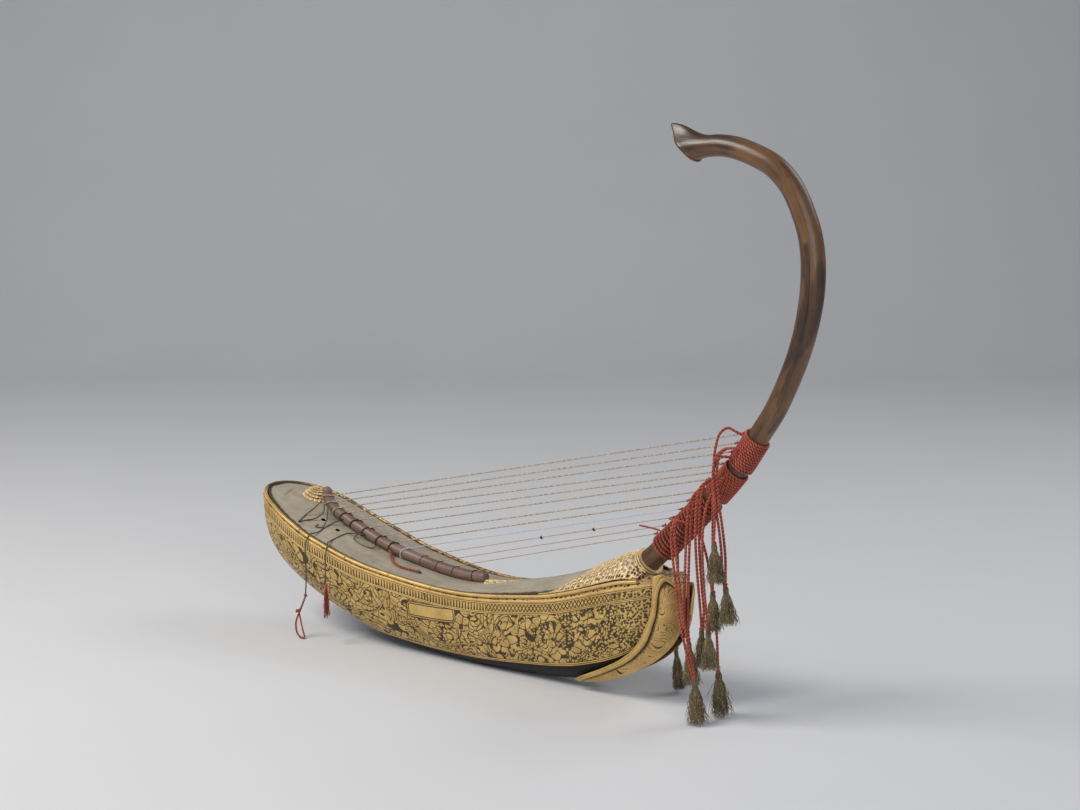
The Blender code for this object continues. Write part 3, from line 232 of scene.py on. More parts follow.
NECK_GIRTH = (
    (0.0, 1.02), (0.10, 0.99), (0.25, 0.96), (0.36, 0.93), (0.48, 0.96), (0.62, 1.02), (0.80, 0.99),
    (0.92, 0.94), (1.0, 0.93),
)
HOOK_PROFILE = (
    # reach, rise, girth
    (0.35, 0.10, 1.0), (0.75, 0.32, 1.0), (1.0, 0.62, 0.95), (0.92, 0.86, 0.80), (0.72, 1.0, 0.55),
)
TIE_PLACES = (0.162, 0.251, 0.336, 0.433, 0.510, 0.5835, 0.6635, 0.7345, 0.800, 0.846, 0.894, 0.934)
FINIAL_STAGES = (
    (0.18, 0.03), (0.35, 0.10), (0.48, 0.18), (0.62, 0.30), (0.73, 0.46), (0.84, 0.66), (0.93, 0.85),
    (1.0, 1.0),
)


# Curves and lines

def spline_value(table, x):
    """Value at x of a smooth curve through the pairs of a table."""
    last = len(table) - 1
    x = min(max(x, table[0][0]), table[last][0])
    i = 0
    while i < last - 1 and x > table[i + 1][0]:
        i += 1

    def rise(k):
        return (table[k + 1][1] - table[k][1]) / (table[k + 1][0] - table[k][0])

    def slope(k):
        if k == 0:
            return rise(0)
        if k == last:
            return rise(last - 1)
        before = rise(k - 1)
        after = rise(k)
        if before * after <= 0.0:
            return 0.0
        return 2.0 * before * after / (before + after)

    width = table[i + 1][0] - table[i][0]
    t = (x - table[i][0]) / width
    start = table[i][1] * (2 * t**3 - 3 * t**2 + 1) + slope(i) * width * (t**3 - 2 * t**2 + t)
    end = table[i + 1][1] * (3 * t**2 - 2 * t**3) + slope(i + 1) * width * (t**3 - t**2)
    return start + end


def path_length(points):
    return sum((b - a).length for a, b in zip(points, points[1:]))


def even_path(points, count):
    """Evenly spaced points along straight runs between points."""
    lengths = [0.0]
    for before, after in zip(points, points[1:]):
        lengths.append(lengths[-1] + (after - before).length)
    path = []
    j = 0
    for i in range(count):
        target = lengths[-1] * i / (count - 1)
        while j < len(points) - 2 and lengths[j + 1] < target:
            j += 1
        span = lengths[j + 1] - lengths[j]
        path.append(points[j].lerp(points[j + 1], (target - lengths[j]) / span))
    return path


def smooth_path(points, count):
    """Evenly spaced points on a smooth curve through a few chosen points."""
    nodes = [Vector(p) for p in points]
    nodes = [nodes[0] * 2 - nodes[1]] + nodes + [nodes[-1] * 2 - nodes[-2]]
    fine = []
    steps = 12
    for i in range(1, len(nodes) - 2):
        p0, p1, p2, p3 = nodes[i - 1:i + 3]
        k1 = (p1 - p0).length ** 0.5
        k2 = (p2 - p1).length ** 0.5
        k3 = (p3 - p2).length ** 0.5
        m1 = (p1 - p0) / k1 - (p2 - p0) / (k1 + k2) + (p2 - p1) / k2
        m2 = (p2 - p1) / k2 - (p3 - p1) / (k2 + k3) + (p3 - p2) / k3
        for j in range(steps):
            t = j / steps
            a = p1 * (2 * t**3 - 3 * t**2 + 1) + m1 * k2 * (t**3 - 2 * t**2 + t)
            b = p2 * (3 * t**2 - 2 * t**3) + m2 * k2 * (t**3 - t**2)
            fine.append(a + b)
    fine.append(nodes[-2])
    return even_path(fine, count)


def tail_offset():
    return (HULL_LENGTH + NECK_REACH - NECK_INSET + NECK_DIAMETER / 2) / 2


def hull_x(s):
    return s * HULL_LENGTH - tail_offset()


def hull_share(x):
    return (x + tail_offset()) / HULL_LENGTH


def rim_z(s):
    return HULL_HEIGHT * spline_value(RIM_LINE, s)


def keel_z(s):
    return max(HULL_HEIGHT * spline_value(KEEL_LINE, s) - KEEL_FLAT_DEPTH, 0.0)


def end_round(distance, reach):
    t = 1.0 - min(max(distance / reach, 0.0), 1.0)
    return sqrt(1.0 - t * t)


def half_width(s, inset=0.0):
    full = HULL_WIDTH / 2 * spline_value(WIDTH_LINE, s) - inset
    tail = end_round(s * HULL_LENGTH - inset, TAIL_ROUND - inset)
    stem = end_round((1.0 - s) * HULL_LENGTH - inset, STEM_ROUND - inset)
    return max(full * tail * stem, END_WIDTH / 2)


def deck_z(s, y):
    crown = DECK_CROWN * spline_value(CROWN_LINE, s)
    share = min(abs(y) / half_width(s), 1.0)
    return rim_z(s) + crown * (1.0 - share * share)


def on_deck(s, y, lift):
    """Point at a distance off the deck, square to it."""
    step = 0.001
    ds = step / HULL_LENGTH
    along_x = (deck_z(s + ds, y) - deck_z(s - ds, y)) / (2 * step)
    along_y = (deck_z(s, y + step) - deck_z(s, y - step)) / (2 * step)
    normal = Vector((-along_x, -along_y, 1.0)).normalized()
    return Vector((hull_x(s), y, deck_z(s, y))) + normal * lift


def skin_top():
    return GAP + FACET * 2 + SKIN_THICKNESS


def power(value, exponent):
    return abs(value) ** exponent * (1 if value >= 0 else -1)


def collar_share():
    return 1.0 - NECK_INSET / HULL_LENGTH


def half_section(s, count):
    """Points from the near rim down to the keel, evenly spaced, and their length."""
    wide = half_width(s)
    top = rim_z(s)
    low = HULL_HEIGHT * spline_value(KEEL_LINE, s) - KEEL_FLAT_DEPTH
    fine = []
    for j in range(97):
        angle = pi / 2 * j / 96
        y = -wide * power(cos(angle), 2 / SECTION_POWER)
        z = top - (top - low) * power(sin(angle), 2 / SECTION_POWER)
        fine.append(Vector((hull_x(s), y, max(z, 0.0))))
    return even_path(fine, count), path_length(fine)


def neck_path():
    base = Vector((hull_x(collar_share()), 0.0, HULL_HEIGHT - NECK_EXIT_DROP))
    line = [base + Vector((x * NECK_REACH, 0.0, z * NECK_RISE)) for x, z in NECK_LINE]
    return smooth_path(line, 181)


def along(path, distance):
    """Point, tangent and hollow-side normal at a distance along the neck."""
    step = path_length(path) / (len(path) - 1)
    index = min(int(distance / step), len(path) - 2)
    place = path[index].lerp(path[index + 1], distance / step - index)
    before = path[max(index - 2, 0)]
    after = path[min(index + 3, len(path) - 1)]
    tangent = (after - before).normalized()
    return place, tangent, Vector((-tangent.z, 0.0, tangent.x))


def neck_radius(path, distance):
    return NECK_DIAMETER / 2 * spline_value(NECK_GIRTH, distance / path_length(path))


def bar_radius(t):
    share = min(t / BAR_TAPER_END, 1.0)
    return (BAR_NECK_DIAMETER + (BAR_DIAMETER - BAR_NECK_DIAMETER) * share) / 2


def bar_point(t):
    x = hull_x(0.0) + BAR_TAIL_OFFSET + BAR_LENGTH * (1.0 - t)
    s = hull_share(x)
    step = 0.001
    ds = step / HULL_LENGTH
    rise = (deck_z(s + ds, 0.0) - deck_z(s - ds, 0.0)) / (2 * step)
    turn = (bar_radius(t) + GAP + FACET + STRING_DIAMETER / 2) / cos(pi / 8)
    lift = skin_top() + GAP + FACET + turn + STRING_DIAMETER / 2
    return Vector((x, 0.0, deck_z(s, 0.0) + lift * sqrt(1.0 + rise * rise)))


def bar_line():
    """Centres and radii of the bar from its neck end to the tip of its hook, close together."""
    nodes = [(bar_point(k / 24), bar_radius(k / 24)) for k in range(25)]
    end = nodes[-1][0]
    for reach, rise, girth in HOOK_PROFILE:
        spot = end + Vector((-BAR_HOOK_REACH * reach, 0.0, BAR_HOOK_HEIGHT * rise))
        nodes.append((spot, BAR_DIAMETER / 2 * girth))
    centres = smooth_path([place for place, radius in nodes], 181)
    total = path_length(centres)
    girths = []
    run = 0.0
    for k, (place, radius) in enumerate(nodes):
        run += (place - nodes[k - 1][0]).length if k else 0.0
        girths.append((run, radius))
    return [(place, spline_value(girths, total * k / 180)) for k, place in enumerate(centres)]


def bar_length(line):
    return sum((b[0] - a[0]).length for a, b in zip(line, line[1:]))


def bar_frame(line, distance):
    """Centre, radius and upper side of the bar at a distance from its neck end."""
    step = bar_length(line) / (len(line) - 1)
    k = min(int(distance / step), len(line) - 2)
    share = distance / step - k
    centre = line[k][0].lerp(line[k + 1][0], share)
    radius = line[k][1] * (1.0 - share) + line[k + 1][1] * share
    radius = max(radius, 0.0078) * 1.06 if distance < BAR_LENGTH else radius
    direction = (line[min(k + 2, len(line) - 1)][0] - line[max(k - 1, 0)][0]).normalized()
    return centre, radius, Vector((0.0, 1.0, 0.0)).cross(direction).normalized()


def wind_pitch(index):
    return CORD_DIAMETER + (LOOSE_TURN_GAP if index < WIND_LOOSE_COUNT else TURN_GAP)


def wind_turns(index):
    return LOOSE_WIND_TURNS if index < WIND_LOOSE_COUNT else WIND_TURNS


def wind_length(index):
    return wind_pitch(index) * wind_turns(index) + CORD_DIAMETER


def wind_start(index):
    loose = wind_length(0) + LOOSE_WIND_SPACE
    tight = wind_length(WIND_LOOSE_COUNT) + WIND_SPACE
    group = (STRING_COUNT - WIND_LOOSE_COUNT) // 2
    start = WIND_FIRST + loose * min(index, WIND_LOOSE_COUNT)
    if index >= WIND_LOOSE_COUNT:
        start += WIND_GROUP_GAP + tight * (index - WIND_LOOSE_COUNT)
    if index >= WIND_LOOSE_COUNT + group:
        start += WIND_GROUP_GAP
    return start


def wind_middle(index):
    return wind_start(index) + wind_length(index) / 2


def wind_radius(path, index):
    return neck_radius(path, wind_middle(index)) + WIND_CLEARANCE + CORD_DIAMETER / 2


def winding_path(path, index, per_turn=40):
    """Turns close beside their neighbours, with the ends of each cord on the far side of the neck."""
    radius = wind_radius(path, index)
    turns = wind_turns(index) + 0.88
    slot = wind_length(index) + (LOOSE_WIND_SPACE if index < WIND_LOOSE_COUNT else WIND_SPACE)
    pitch = slot / (wind_turns(index) + 1)
    start = wind_middle(index) - pitch * turns / 2
    points = []
    for k in range(int(turns * per_turn) + 1):
        angle = 2 * pi * (k / per_turn + 0.06) + pi / 2
        place, tangent, normal = along(path, start + pitch * k / per_turn)
        points.append(place + normal * (radius * cos(angle)) + Vector((0, radius * sin(angle), 0)))
    return points


def crown_distance(index, degrees):
    first = wind_start(index) + CORD_DIAMETER / 2
    pitch = wind_pitch(index)
    share = (-degrees - 90.0) / 360.0 % 1.0
    turns = round((wind_middle(index) - first) / pitch - share)
    return first + pitch * (share + turns)


def on_skin(points, diameter):
    lift = skin_top() + GAP + diameter / 2
    return [on_deck(hull_share(x), y, lift + height) for x, y, height in points]


# Materials

GOLD_LIGHT = (0.680, 0.440, 0.140)
GOLD_DEEP = (0.470, 0.285, 0.075)
GOLD_PALE = (0.800, 0.590, 0.270)
GOLD_PINK = (0.740, 0.580, 0.360)
LACQUER = (0.012, 0.010, 0.006)
LACQUER_BROWN = (0.084, 0.060, 0.026)

# Painted bands and figures of the body, in metres along it, below the rim and up from the keel
LADDER_MIDDLE = 0.0118
LADDER_HEIGHT = 0.0102
LADDER_END = 0.202
DROP_PITCH = 0.0052
ZIGZAG_PITCH = 0.0124
KEEL_BLACK = 0.0430
PLATE_SIZE = 0.0140
RIDGE_SIZE = 0.0120
STAR_SIZE = 0.0047
STAR_POINTEDNESS = 0.62
LACE_SIZE = 0.0050
FRAME_PITCH = 0.190
CARTOUCHE_PLACE = 0.110
CARTOUCHE_BELOW = 0.03425
CARTOUCHE_SLOPE = 0.0915


class Value:
    """Output of a shader node that plain arithmetic works on."""

    def __init__(self, nodes, socket):
        self.nodes = nodes
        self.socket = socket

    def math(self, operation, *others, **settings):
        return self.nodes.math(operation, self, *others, **settings)

    def __add__(self, other):
        return self.math("ADD", other)

    def __sub__(self, other):
        return self.math("SUBTRACT", other)

    def __rsub__(self, other):
        return self.nodes.math("SUBTRACT", other, self)

    def __mul__(self, other):
        return self.math("MULTIPLY", other)

    def __truediv__(self, other):
        return self.math("DIVIDE", other)

    def __abs__(self):
        return self.math("ABSOLUTE")

    def fract(self):
        return self.math("FRACT")

    def most(self, other):
        return self.math("MAXIMUM", other)

    def over(self, edge, soft):
        """One above an edge and nought below it, with a soft step between."""
        return self.math("MULTIPLY_ADD", 1.0 / soft, 0.5 - edge / soft, use_clamp=True)

    def band(self, low, high, soft):
        """One between two values, nought outside."""
        return self.over(low, soft) * (1.0 - self.over(high, soft))


class Nodes:
    """Short way to write a material's node tree."""

    def __init__(self, name):
        self.material = bpy.data.materials.new(name)
        self.material.use_nodes = True
        self.tree = self.material.node_tree
        self.shader = self.tree.nodes["Principled BSDF"]

    def add(self, kind, settings=None, **inputs):
        node = self.tree.nodes.new("ShaderNode" + kind)
        for key, value in (settings or {}).items():
            setattr(node, key, value)
        for key, value in inputs.items():
            self.feed(node.inputs[key.replace("_", " ")], value)
        return node

    def feed(self, socket, value):
        if isinstance(value, Value):
            self.tree.links.new(value.socket, socket)
        elif socket.type == "RGBA":
            socket.default_value = (*value, 1.0)
        else:
            socket.default_value = value

    def math(self, operation, *values, kind="Math", **settings):
        node = self.add(kind, {"operation": operation, **settings})
        for socket, value in zip(node.inputs, values):
            self.feed(socket, value)
        return Value(self, node.outputs[0])

    def scaled(self, vector, x, y, z):
        return self.math("MULTIPLY", vector, (x, y, z), kind="VectorMath")

    def mix(self, factor, a, b):
        node = self.add("Mix", {"data_type": "RGBA"})
        for number, value in ((0, factor), (6, a), (7, b)):
            self.feed(node.inputs[number], value)
        return Value(self, node.outputs[2])

    def ramp(self, factor, low, high):
        """Even rise from nought at one value to one at another."""
        node = self.add("ValToRGB")
        for element, position in zip(node.color_ramp.elements, (low, high)):
            element.position = position
        self.feed(node.inputs[0], factor)
        return Value(self, node.outputs[0])

    def attribute(self, name, output="Vector"):
        return Value(self, self.add("Attribute", {"attribute_name": name}).outputs[output])

    def place(self):
        return Value(self, self.add("TexCoord").outputs["Object"])

    def parts(self, vector):
        return [Value(self, part) for part in self.add("SeparateXYZ", Vector=vector).outputs]

    def noise(self, vector, scale, detail=3.0, roughness=0.55, distortion=0.0):
        node = self.add("TexNoise", Vector=vector, Scale=scale, Detail=detail, Roughness=roughness,
                        Distortion=distortion)
        return Value(self, node.outputs[0])

    def wobble(self, vector, scale, amount):
        """Coordinates pushed about by noise, in metres."""
        noise = Value(self, self.add("TexNoise", Vector=vector, Scale=scale, Detail=1.0).outputs["Color"])
        shift = self.math("SUBTRACT", noise, (0.5, 0.5, 0.5), kind="VectorMath")
        return self.math("ADD", vector, self.scaled(shift, amount, amount, amount), kind="VectorMath")

    def cells(self, vector, size, randomness=1.0, output="Distance", **settings):
        """Cells of one size: the distance from the middle or edge of each, or a colour for each."""
        settings = {"voronoi_dimensions": "2D", **settings}
        node = self.add("TexVoronoi", settings, Vector=vector, Scale=1.0 / size, Randomness=randomness)
        if node.distance == "MINKOWSKI":
            node.inputs["Exponent"].default_value = STAR_POINTEDNESS
        return Value(self, node.outputs[output])

    def finish(self, color, roughness=0.5, metallic=0.0, height=None, distance=0.0003, strength=1.0, **rest):
        inputs = {"Base Color": color, "Roughness": roughness, "Metallic": metallic, **rest}
        for key, value in inputs.items():
            self.feed(self.shader.inputs[key.replace("_", " ")], value)
        if height is not None:
            bump = self.add("Bump", Height=height, Distance=distance, Strength=strength)
            self.feed(self.shader.inputs["Normal"], Value(self, bump.outputs[0]))
        return self.material


def gold_color(n, place):
    """Gold leaf that is paler and browner in patches."""
    patches = n.ramp(n.noise(place, 38.0, 5.0, 0.6), 0.36, 0.64)
    fine = n.ramp(n.noise(place, 420.0, 3.0, 0.6), 0.40, 0.70)
    return n.mix(fine * 0.45, n.mix(patches, GOLD_DEEP, GOLD_LIGHT), GOLD_PALE)


def ladder_band(n, u, v, plane):
    """Gold band, engraved with hanging drops toward the tail and with zigzags toward the stem."""
    down = (v - LADDER_MIDDLE) / (LADDER_HEIGHT / 2)
    across = abs((u / DROP_PITCH).fract() * 2.0 - 1.0)
    drops = (down * 0.14 + across).over(0.60, 0.10)
    tooth = abs((u / ZIGZAG_PITCH).fract() * 4.0 - 2.0) - 1.0
    zigzags = (tooth - down).band(-0.27, 0.27, 0.10).most((tooth + down).band(-0.27, 0.27, 0.10))
    dots = 1.0 - (abs(tooth) + abs(down)).over(0.24, 0.10)
    stemward = u.over(-0.010, 0.002)
    dark = drops * (1.0 - stemward) + zigzags.most(dots) * stemward
    wear_and_glints = n.noise(plane, 52.0, 4.0, 0.65).over(0.62, 0.05)
    return (1.0 - dark) * (1.0 - wear_and_glints * 0.8)


def gilt_plates(n, flat):
    """Rounded plates with dark seams, some of them with an arc."""
    middle = n.cells(flat, PLATE_SIZE, 0.95)
    seam = n.cells(flat, PLATE_SIZE, 0.95, feature="DISTANCE_TO_EDGE")
    chance = n.parts(n.cells(flat, PLATE_SIZE, 0.95, "Color"))[0]
    arc = middle.band(0.26, 0.31, 0.05) * chance.over(0.55, 0.02)
    return seam.over(0.050, 0.05) * (1.0 - middle.over(0.55, 0.05)) * (1.0 - arc * 0.75)


def gilt_ridges(n, plane):
    """Flowing ridges, cut up into leaves and pitted."""
    curled = n.wobble(n.wobble(plane, 22.0, 0.026), 70.0, 0.008)
    strokes = (n.noise(curled, 24.0, 0.0) * 10.5).fract()
    leaves = n.cells(curled, RIDGE_SIZE, feature="DISTANCE_TO_EDGE")
    pits = n.noise(curled, 90.0, 1.0).over(0.655, 0.03)
    return (1.0 - strokes.band(0.0, 0.22, 0.08)) * leaves.over(0.045, 0.04) * (1.0 - pits)


def gilt_stars(n, flat):
    """Small pointed stars of several sizes."""
    distance = n.cells(flat, STAR_SIZE, 0.9, distance="MINKOWSKI")
    chance = n.parts(n.cells(flat, STAR_SIZE, 0.9, "Color", distance="MINKOWSKI"))[0]
    return (chance * 0.34 + 0.46 - distance).over(0.0, 0.14)


def scrollwork(n, raw, u, v):
    """Plates and ridges toward the tail, stars toward the stem, under wide arches."""
    plane = n.scaled(raw, 1.0, 1.0, 0.0)
    flat = n.wobble(n.wobble(plane, 60.0, 0.008), 240.0, 0.0022)
    lean_plates = 0.060 - abs(u * 0.9 - 0.070)
    in_plates = (n.noise(plane, 17.0, 1.0) + lean_plates.most(-0.06)).over(0.530, 0.012)
    plates = gilt_plates(n, flat) * in_plates + gilt_ridges(n, plane) * (1.0 - in_plates)
    lean = (u * 0.62 - 0.045).most(-0.075).math("MINIMUM", 0.075)
    ground = (n.noise(n.scaled(raw, 1.0, 1.25, 0.0), 27.0, 2.0, 0.5) + lean).over(0.555, 0.015)
    field = gilt_stars(n, flat) * ground + plates * (1.0 - ground)

    wave = abs((u * (pi / FRAME_PITCH)).math("SINE"))
    from_frame = v - (wave.math("POWER", 0.6) * 0.060 + (n.noise(plane, 16.0, 1.0) * 0.03 + 0.010))
    framed = 1.0 - u.over(0.02, 0.02)
    field = field * (1.0 - from_frame.band(-0.0019, 0.0019, 0.0005) * framed)
    field = field.most(from_frame.band(-0.0010, 0.0010, 0.0005) * framed)

    lace = n.cells(n.wobble(plane, 160.0, 0.003), 0.0046, 0.8).over(0.40, 0.16)
    stemward = u.over(0.214, 0.010) * (1.0 - v.over(0.058, 0.006))
    return field * (1.0 - stemward) + lace * 0.9 * stemward


def with_cartouche(field, u, v):
    """Bare gilt plate with rounded corners and a thin frame."""
    plate_u = u + CARTOUCHE_PLACE
    plate_v = plate_u * CARTOUCHE_SLOPE + (v - CARTOUCHE_BELOW)
    corner_u = (abs(plate_u) - 0.036).most(0.0)
    corner_v = (abs(plate_v) - 0.005).most(0.0)
    outside = (corner_u * corner_u + corner_v * corner_v).math("SQRT")
    field = field * outside.over(0.0082, 0.0005)
    return field.most(1.0 - outside.over(0.0034, 0.0004)).most(outside.band(0.0050, 0.0064, 0.0004))


def gilt_field():
    """Gold figures and bands, engraved through to dark lacquer.

    The pattern attribute holds the distance along the body, below the rim and
    from the keel, in metres."""
    n = Nodes("gilt_field")
    place = n.place()
    raw = n.attribute("pattern")
    u, v, w = n.parts(raw)
    field = with_cartouche(scrollwork(n, raw, u, v), u, v)
    ladder = ladder_band(n, u, v, n.scaled(raw, 1.0, 1.0, 0.0))

    top = LADDER_MIDDLE - LADDER_HEIGHT / 2
    low = LADDER_MIDDLE + LADDER_HEIGHT / 2
    between = v.band(top, low, 0.0003)
    past_ladder = u.over(LADDER_END, 0.01)
    gold = v.band(-0.001, top - 0.0026, 0.0003)
    beside_ladder = ((top - 0.0018, top - 0.0006), (low + 0.0006, low + 0.0018), (low + 0.0026, low + 0.0040))
    for first, last in beside_ladder:
        gold = gold.most(v.band(first, last, 0.0003))
    gold = gold.most(ladder * (between * (1.0 - past_ladder)))
    gold = gold.most(field * v.over(low + 0.0048, 0.0003).most(past_ladder * between))
    gold = gold * w.over(KEEL_BLACK + 0.0056, 0.0004)
    for first, last in ((KEEL_BLACK, KEEL_BLACK + 0.0018), (KEEL_BLACK + 0.0028, KEEL_BLACK + 0.0046)):
        gold = gold.most(w.band(first, last, 0.0004))

    worn_spots = n.noise(place, 620.0, 4.0, 0.65).over(0.655, 0.08) * 0.70
    gold = gold * (1.0 - worn_spots.most(n.noise(place, 55.0, 6.0, 0.7).over(0.665, 0.03)))
    brown = (n.noise(place, 60.0, 4.0, 0.6).over(0.50, 0.30) * 0.45 + 0.55) * w.over(KEEL_BLACK, 0.0006)
    color = n.mix(gold, n.mix(brown, LACQUER, LACQUER_BROWN), gold_color(n, place))
    height = gold * 0.8 + n.noise(place, 900.0, 2.0) * 0.2
    return n.finish(color, gold * -0.03 + 0.46, gold * 0.16, height, 0.0005, 0.9,
                    Specular_IOR_Level=gold * 0.20 + 0.22)


def raised_gold(n, place, low=0.25, high=0.62):
    """Gold on what stands out and none in what lies deep, by the height attribute."""
    return n.ramp(n.attribute("height", "Fac") + (n.noise(place, 500.0, 3.0) * 0.4 - 0.20), low, high)


def gilt_relief(name, low=0.25, high=0.62, paler=0.0):
    """Gold on what stands out and dark in what lies deep, rubbed off in small spots: dark lacquer in engraved
    lines, painted shade in deep grooves, in openings and under overlapping petals.
    """
    n = Nodes(name)
    place = n.place()
    gold = raised_gold(n, place, low, high) * (1.0 - n.noise(place, 260.0, 5.0, 0.7).over(0.70, 0.06))
    color = n.mix(gold, tuple(c * 0.45 for c in LACQUER_BROWN), n.mix(paler, gold_color(n, place), GOLD_PINK))
    return n.finish(color, gold * -0.08 + 0.50, gold * 0.20, n.noise(place, 1100.0, 3.0), 0.00025, 0.7,
                    Specular_IOR_Level=0.35)


def gilt_rim():
    """Gold moulding, chipped on the far side and rubbed bare round the tail."""
    n = Nodes("gilt_rim")
    place = n.place()
    x, y, z = n.parts(place)
    chips = n.noise(place, 170.0, 5.0, 0.65).over(0.50, 0.06) * y.over(0.0, 0.03)
    few = n.noise(place, 120.0, 5.0, 0.7).over(0.66, 0.04)
    tail = (1.0 - x.over(-0.462, 0.03)) * y.over(-0.030, 0.02)
    gold = raised_gold(n, place) * (1.0 - (chips * 0.85).most(few).most(tail * 0.93))
    color = n.mix(gold, tuple(c * 0.6 for c in LACQUER_BROWN), gold_color(n, place))
    return n.finish(color, gold * -0.12 + 0.50, gold * 0.25, gold, 0.0003, 0.8, Specular_IOR_Level=0.35)


def gilt_lace():
    """Gold leaf over carved wood, pricked through with small dark openings."""
    n = Nodes("gilt_lace")
    place = n.wobble(n.place(), 150.0, 0.003)
    curl = (n.noise(place, 90.0, 1.0) * 12.0).fract().band(0.0, 0.22, 0.10)
    openings = n.cells(place, LACE_SIZE, 0.85, voronoi_dimensions="3D")
    gold = openings.over(0.38, 0.10) * (1.0 - curl * 0.5)
    color = n.mix(gold, (0.014, 0.011, 0.007), n.mix(0.45, gold_color(n, place), (0.760, 0.550, 0.330)))
    return n.finish(color, 0.45, gold * 0.3, gold, 0.0007, 0.9)


def deck_wood():
    n = Nodes("deck_wood")
    grain = n.noise(n.scaled(n.place(), 0.15, 1.0, 1.0), 240.0, 4.0)
    return n.finish(n.mix(grain, (0.020, 0.012, 0.008), (0.055, 0.032, 0.020)), 0.7, 0.0, grain, 0.0002)


def skin_leather():
    """Grey-beige hide, darker and browner where it goes under the rim."""
    n = Nodes("deerskin")
    place = n.place()
    mottle = n.ramp(n.noise(place, 22.0, 6.0, 0.62), 0.32, 0.68)
    color = n.mix(mottle, (0.312, 0.270, 0.204), (0.446, 0.400, 0.318))
    streak = n.ramp(n.noise(n.scaled(place, 0.35, 1.0, 1.0), 90.0, 5.0, 0.65), 0.42, 0.72)
    color = n.mix(streak * 0.35, color, (0.165, 0.130, 0.090))
    color = n.mix(n.noise(place, 11.0, 3.0, 0.5).over(0.58, 0.16) * 0.30, color, (0.260, 0.190, 0.115))
    from_edge = n.attribute("edge", "Fac") + (n.noise(place, 120.0, 4.0) * 0.005 - 0.0025)
    color = n.mix((1.0 - from_edge.over(0.0034, 0.0028)) * 0.92, color, (0.034, 0.020, 0.012))
    color = n.mix(n.attribute("tone", "Alpha"), color, n.attribute("tone", "Color"))
    pores = n.cells(n.scaled(place, 1.0, 1.0, 0.0), 1.0 / 900.0)
    wrinkles = n.noise(n.wobble(place, 40.0, 0.01), 150.0, 5.0, 0.6)
    return n.finish(color, 0.62, 0.0, pores * 0.25 + wrinkles, 0.0005, 0.55, Specular_IOR_Level=0.35)


def polished_wood(name, dark, middle, light, coat, roughness, shade=0.3):
    """Wood whose grain attribute runs along it: length first, then across."""
    n = Nodes(name)
    grain = n.attribute("grain")

    def drawn_out(share, *noise):
        return n.noise(n.scaled(grain, share, 1.0, 1.0), *noise)

    streaks = n.ramp(drawn_out(0.10, 95.0, 5.0, 0.62, 0.6), 0.34, 0.66)
    lines = n.ramp(drawn_out(0.05, 420.0, 3.0, 0.6), 0.38, 0.66)
    patches = n.ramp(drawn_out(0.35, 30.0, 4.0, 0.6), 0.38, 0.62)
    dim = drawn_out(0.30, 46.0, 3.0, 0.6).over(0.57, 0.10)
    color = n.mix(patches * 0.70, n.mix(streaks, dark, middle), light)
    color = n.mix(lines * 0.35, n.mix(dim * shade, color, dark), dark)
    # Painted shade: near-black where the height attribute marks the neck's split.
    color = n.mix(n.attribute("height", "Fac") * 0.85, color, (0.012, 0.008, 0.006))
    return n.finish(color, lines * 0.12 + roughness, 0.0, lines + streaks * 0.4, 0.00012, 0.5,
                    Coat_Weight=coat, Coat_Roughness=0.18)


def cord_fibre(name, deep, light, fleck=None):
    """Twisted yarn: the strand attribute runs along the cord and round it."""
    n = Nodes(name)
    strand = n.attribute("strand")
    fibre = n.ramp(n.noise(n.scaled(strand, 0.30, 1.0, 1.0), 2600.0, 3.0, 0.6), 0.34, 0.70)
    tone = n.ramp(n.noise(n.place(), 60.0, 3.0), 0.35, 0.65)
    # Painted shade in the grooves between the plies, from the height attribute.
    ply_shade = 1.0 - n.ramp(n.attribute("height", "Fac"), 0.18, 0.72)
    color = n.mix(ply_shade, n.mix((fibre + tone) * 0.5, deep, light), tuple(c * 0.22 for c in deep))
    if fleck:
        color = n.mix(n.noise(n.scaled(strand, 0.5, 1.0, 1.0), 700.0, 2.0).over(0.60, 0.05), color, fleck)
    return n.finish(color, 0.80, 0.0, fibre, 0.00018, 0.7, Sheen_Weight=0.15, Sheen_Roughness=0.5,
                    Specular_IOR_Level=0.25)


def gut(name, deep, light, glint):
    """Twisted gut or silk: dull, with short pale stretches that are painted glints, and painted shade in the
    grooves between plies.
    """
    n = Nodes(name)
    strand = n.attribute("strand")
    # Painted glints: short pale stretches along the string.
    wear_and_glints = n.noise(n.scaled(strand, 1.0, 0.3, 0.3), 190.0, 3.0, 0.7).over(0.530, 0.05)
    tone = n.ramp(n.noise(n.scaled(strand, 1.0, 0.0, 0.0), 35.0, 3.0), 0.35, 0.65)
    # Painted shade in the grooves between the plies.
    ply_shade = 0.55 - n.attribute("height", "Fac") * 0.55
    color = n.mix(wear_and_glints * 0.8, n.mix(tone * 0.8, deep, light), glint)
    color = n.mix(ply_shade, color, tuple(c * 0.3 for c in deep))
    return n.finish(color, wear_and_glints * -0.18 + 0.52, 0.0, n.noise(n.place(), 1500.0, 2.0), 0.0001, 0.5)


def shade_black():
    # Near-black for the walls of the sound holes and the split in the skin: painted shade.
    n = Nodes("shade_black")
    patch = n.noise(n.place(), 300.0, 4.0)
    color = n.mix(patch, (0.0140, 0.0105, 0.0084), (0.020, 0.015, 0.012))
    return n.finish(color, 0.7, 0.0, patch, 0.0001, 0.5)


# Meshes

Y_AXIS = Vector((0.0, 1.0, 0.0))
ATTRIBUTE_KINDS = {1: ("FLOAT", "value"), 3: ("FLOAT_VECTOR", "vector"), 4: ("FLOAT_COLOR", "color")}
SHARP_ANGLE = 1.1


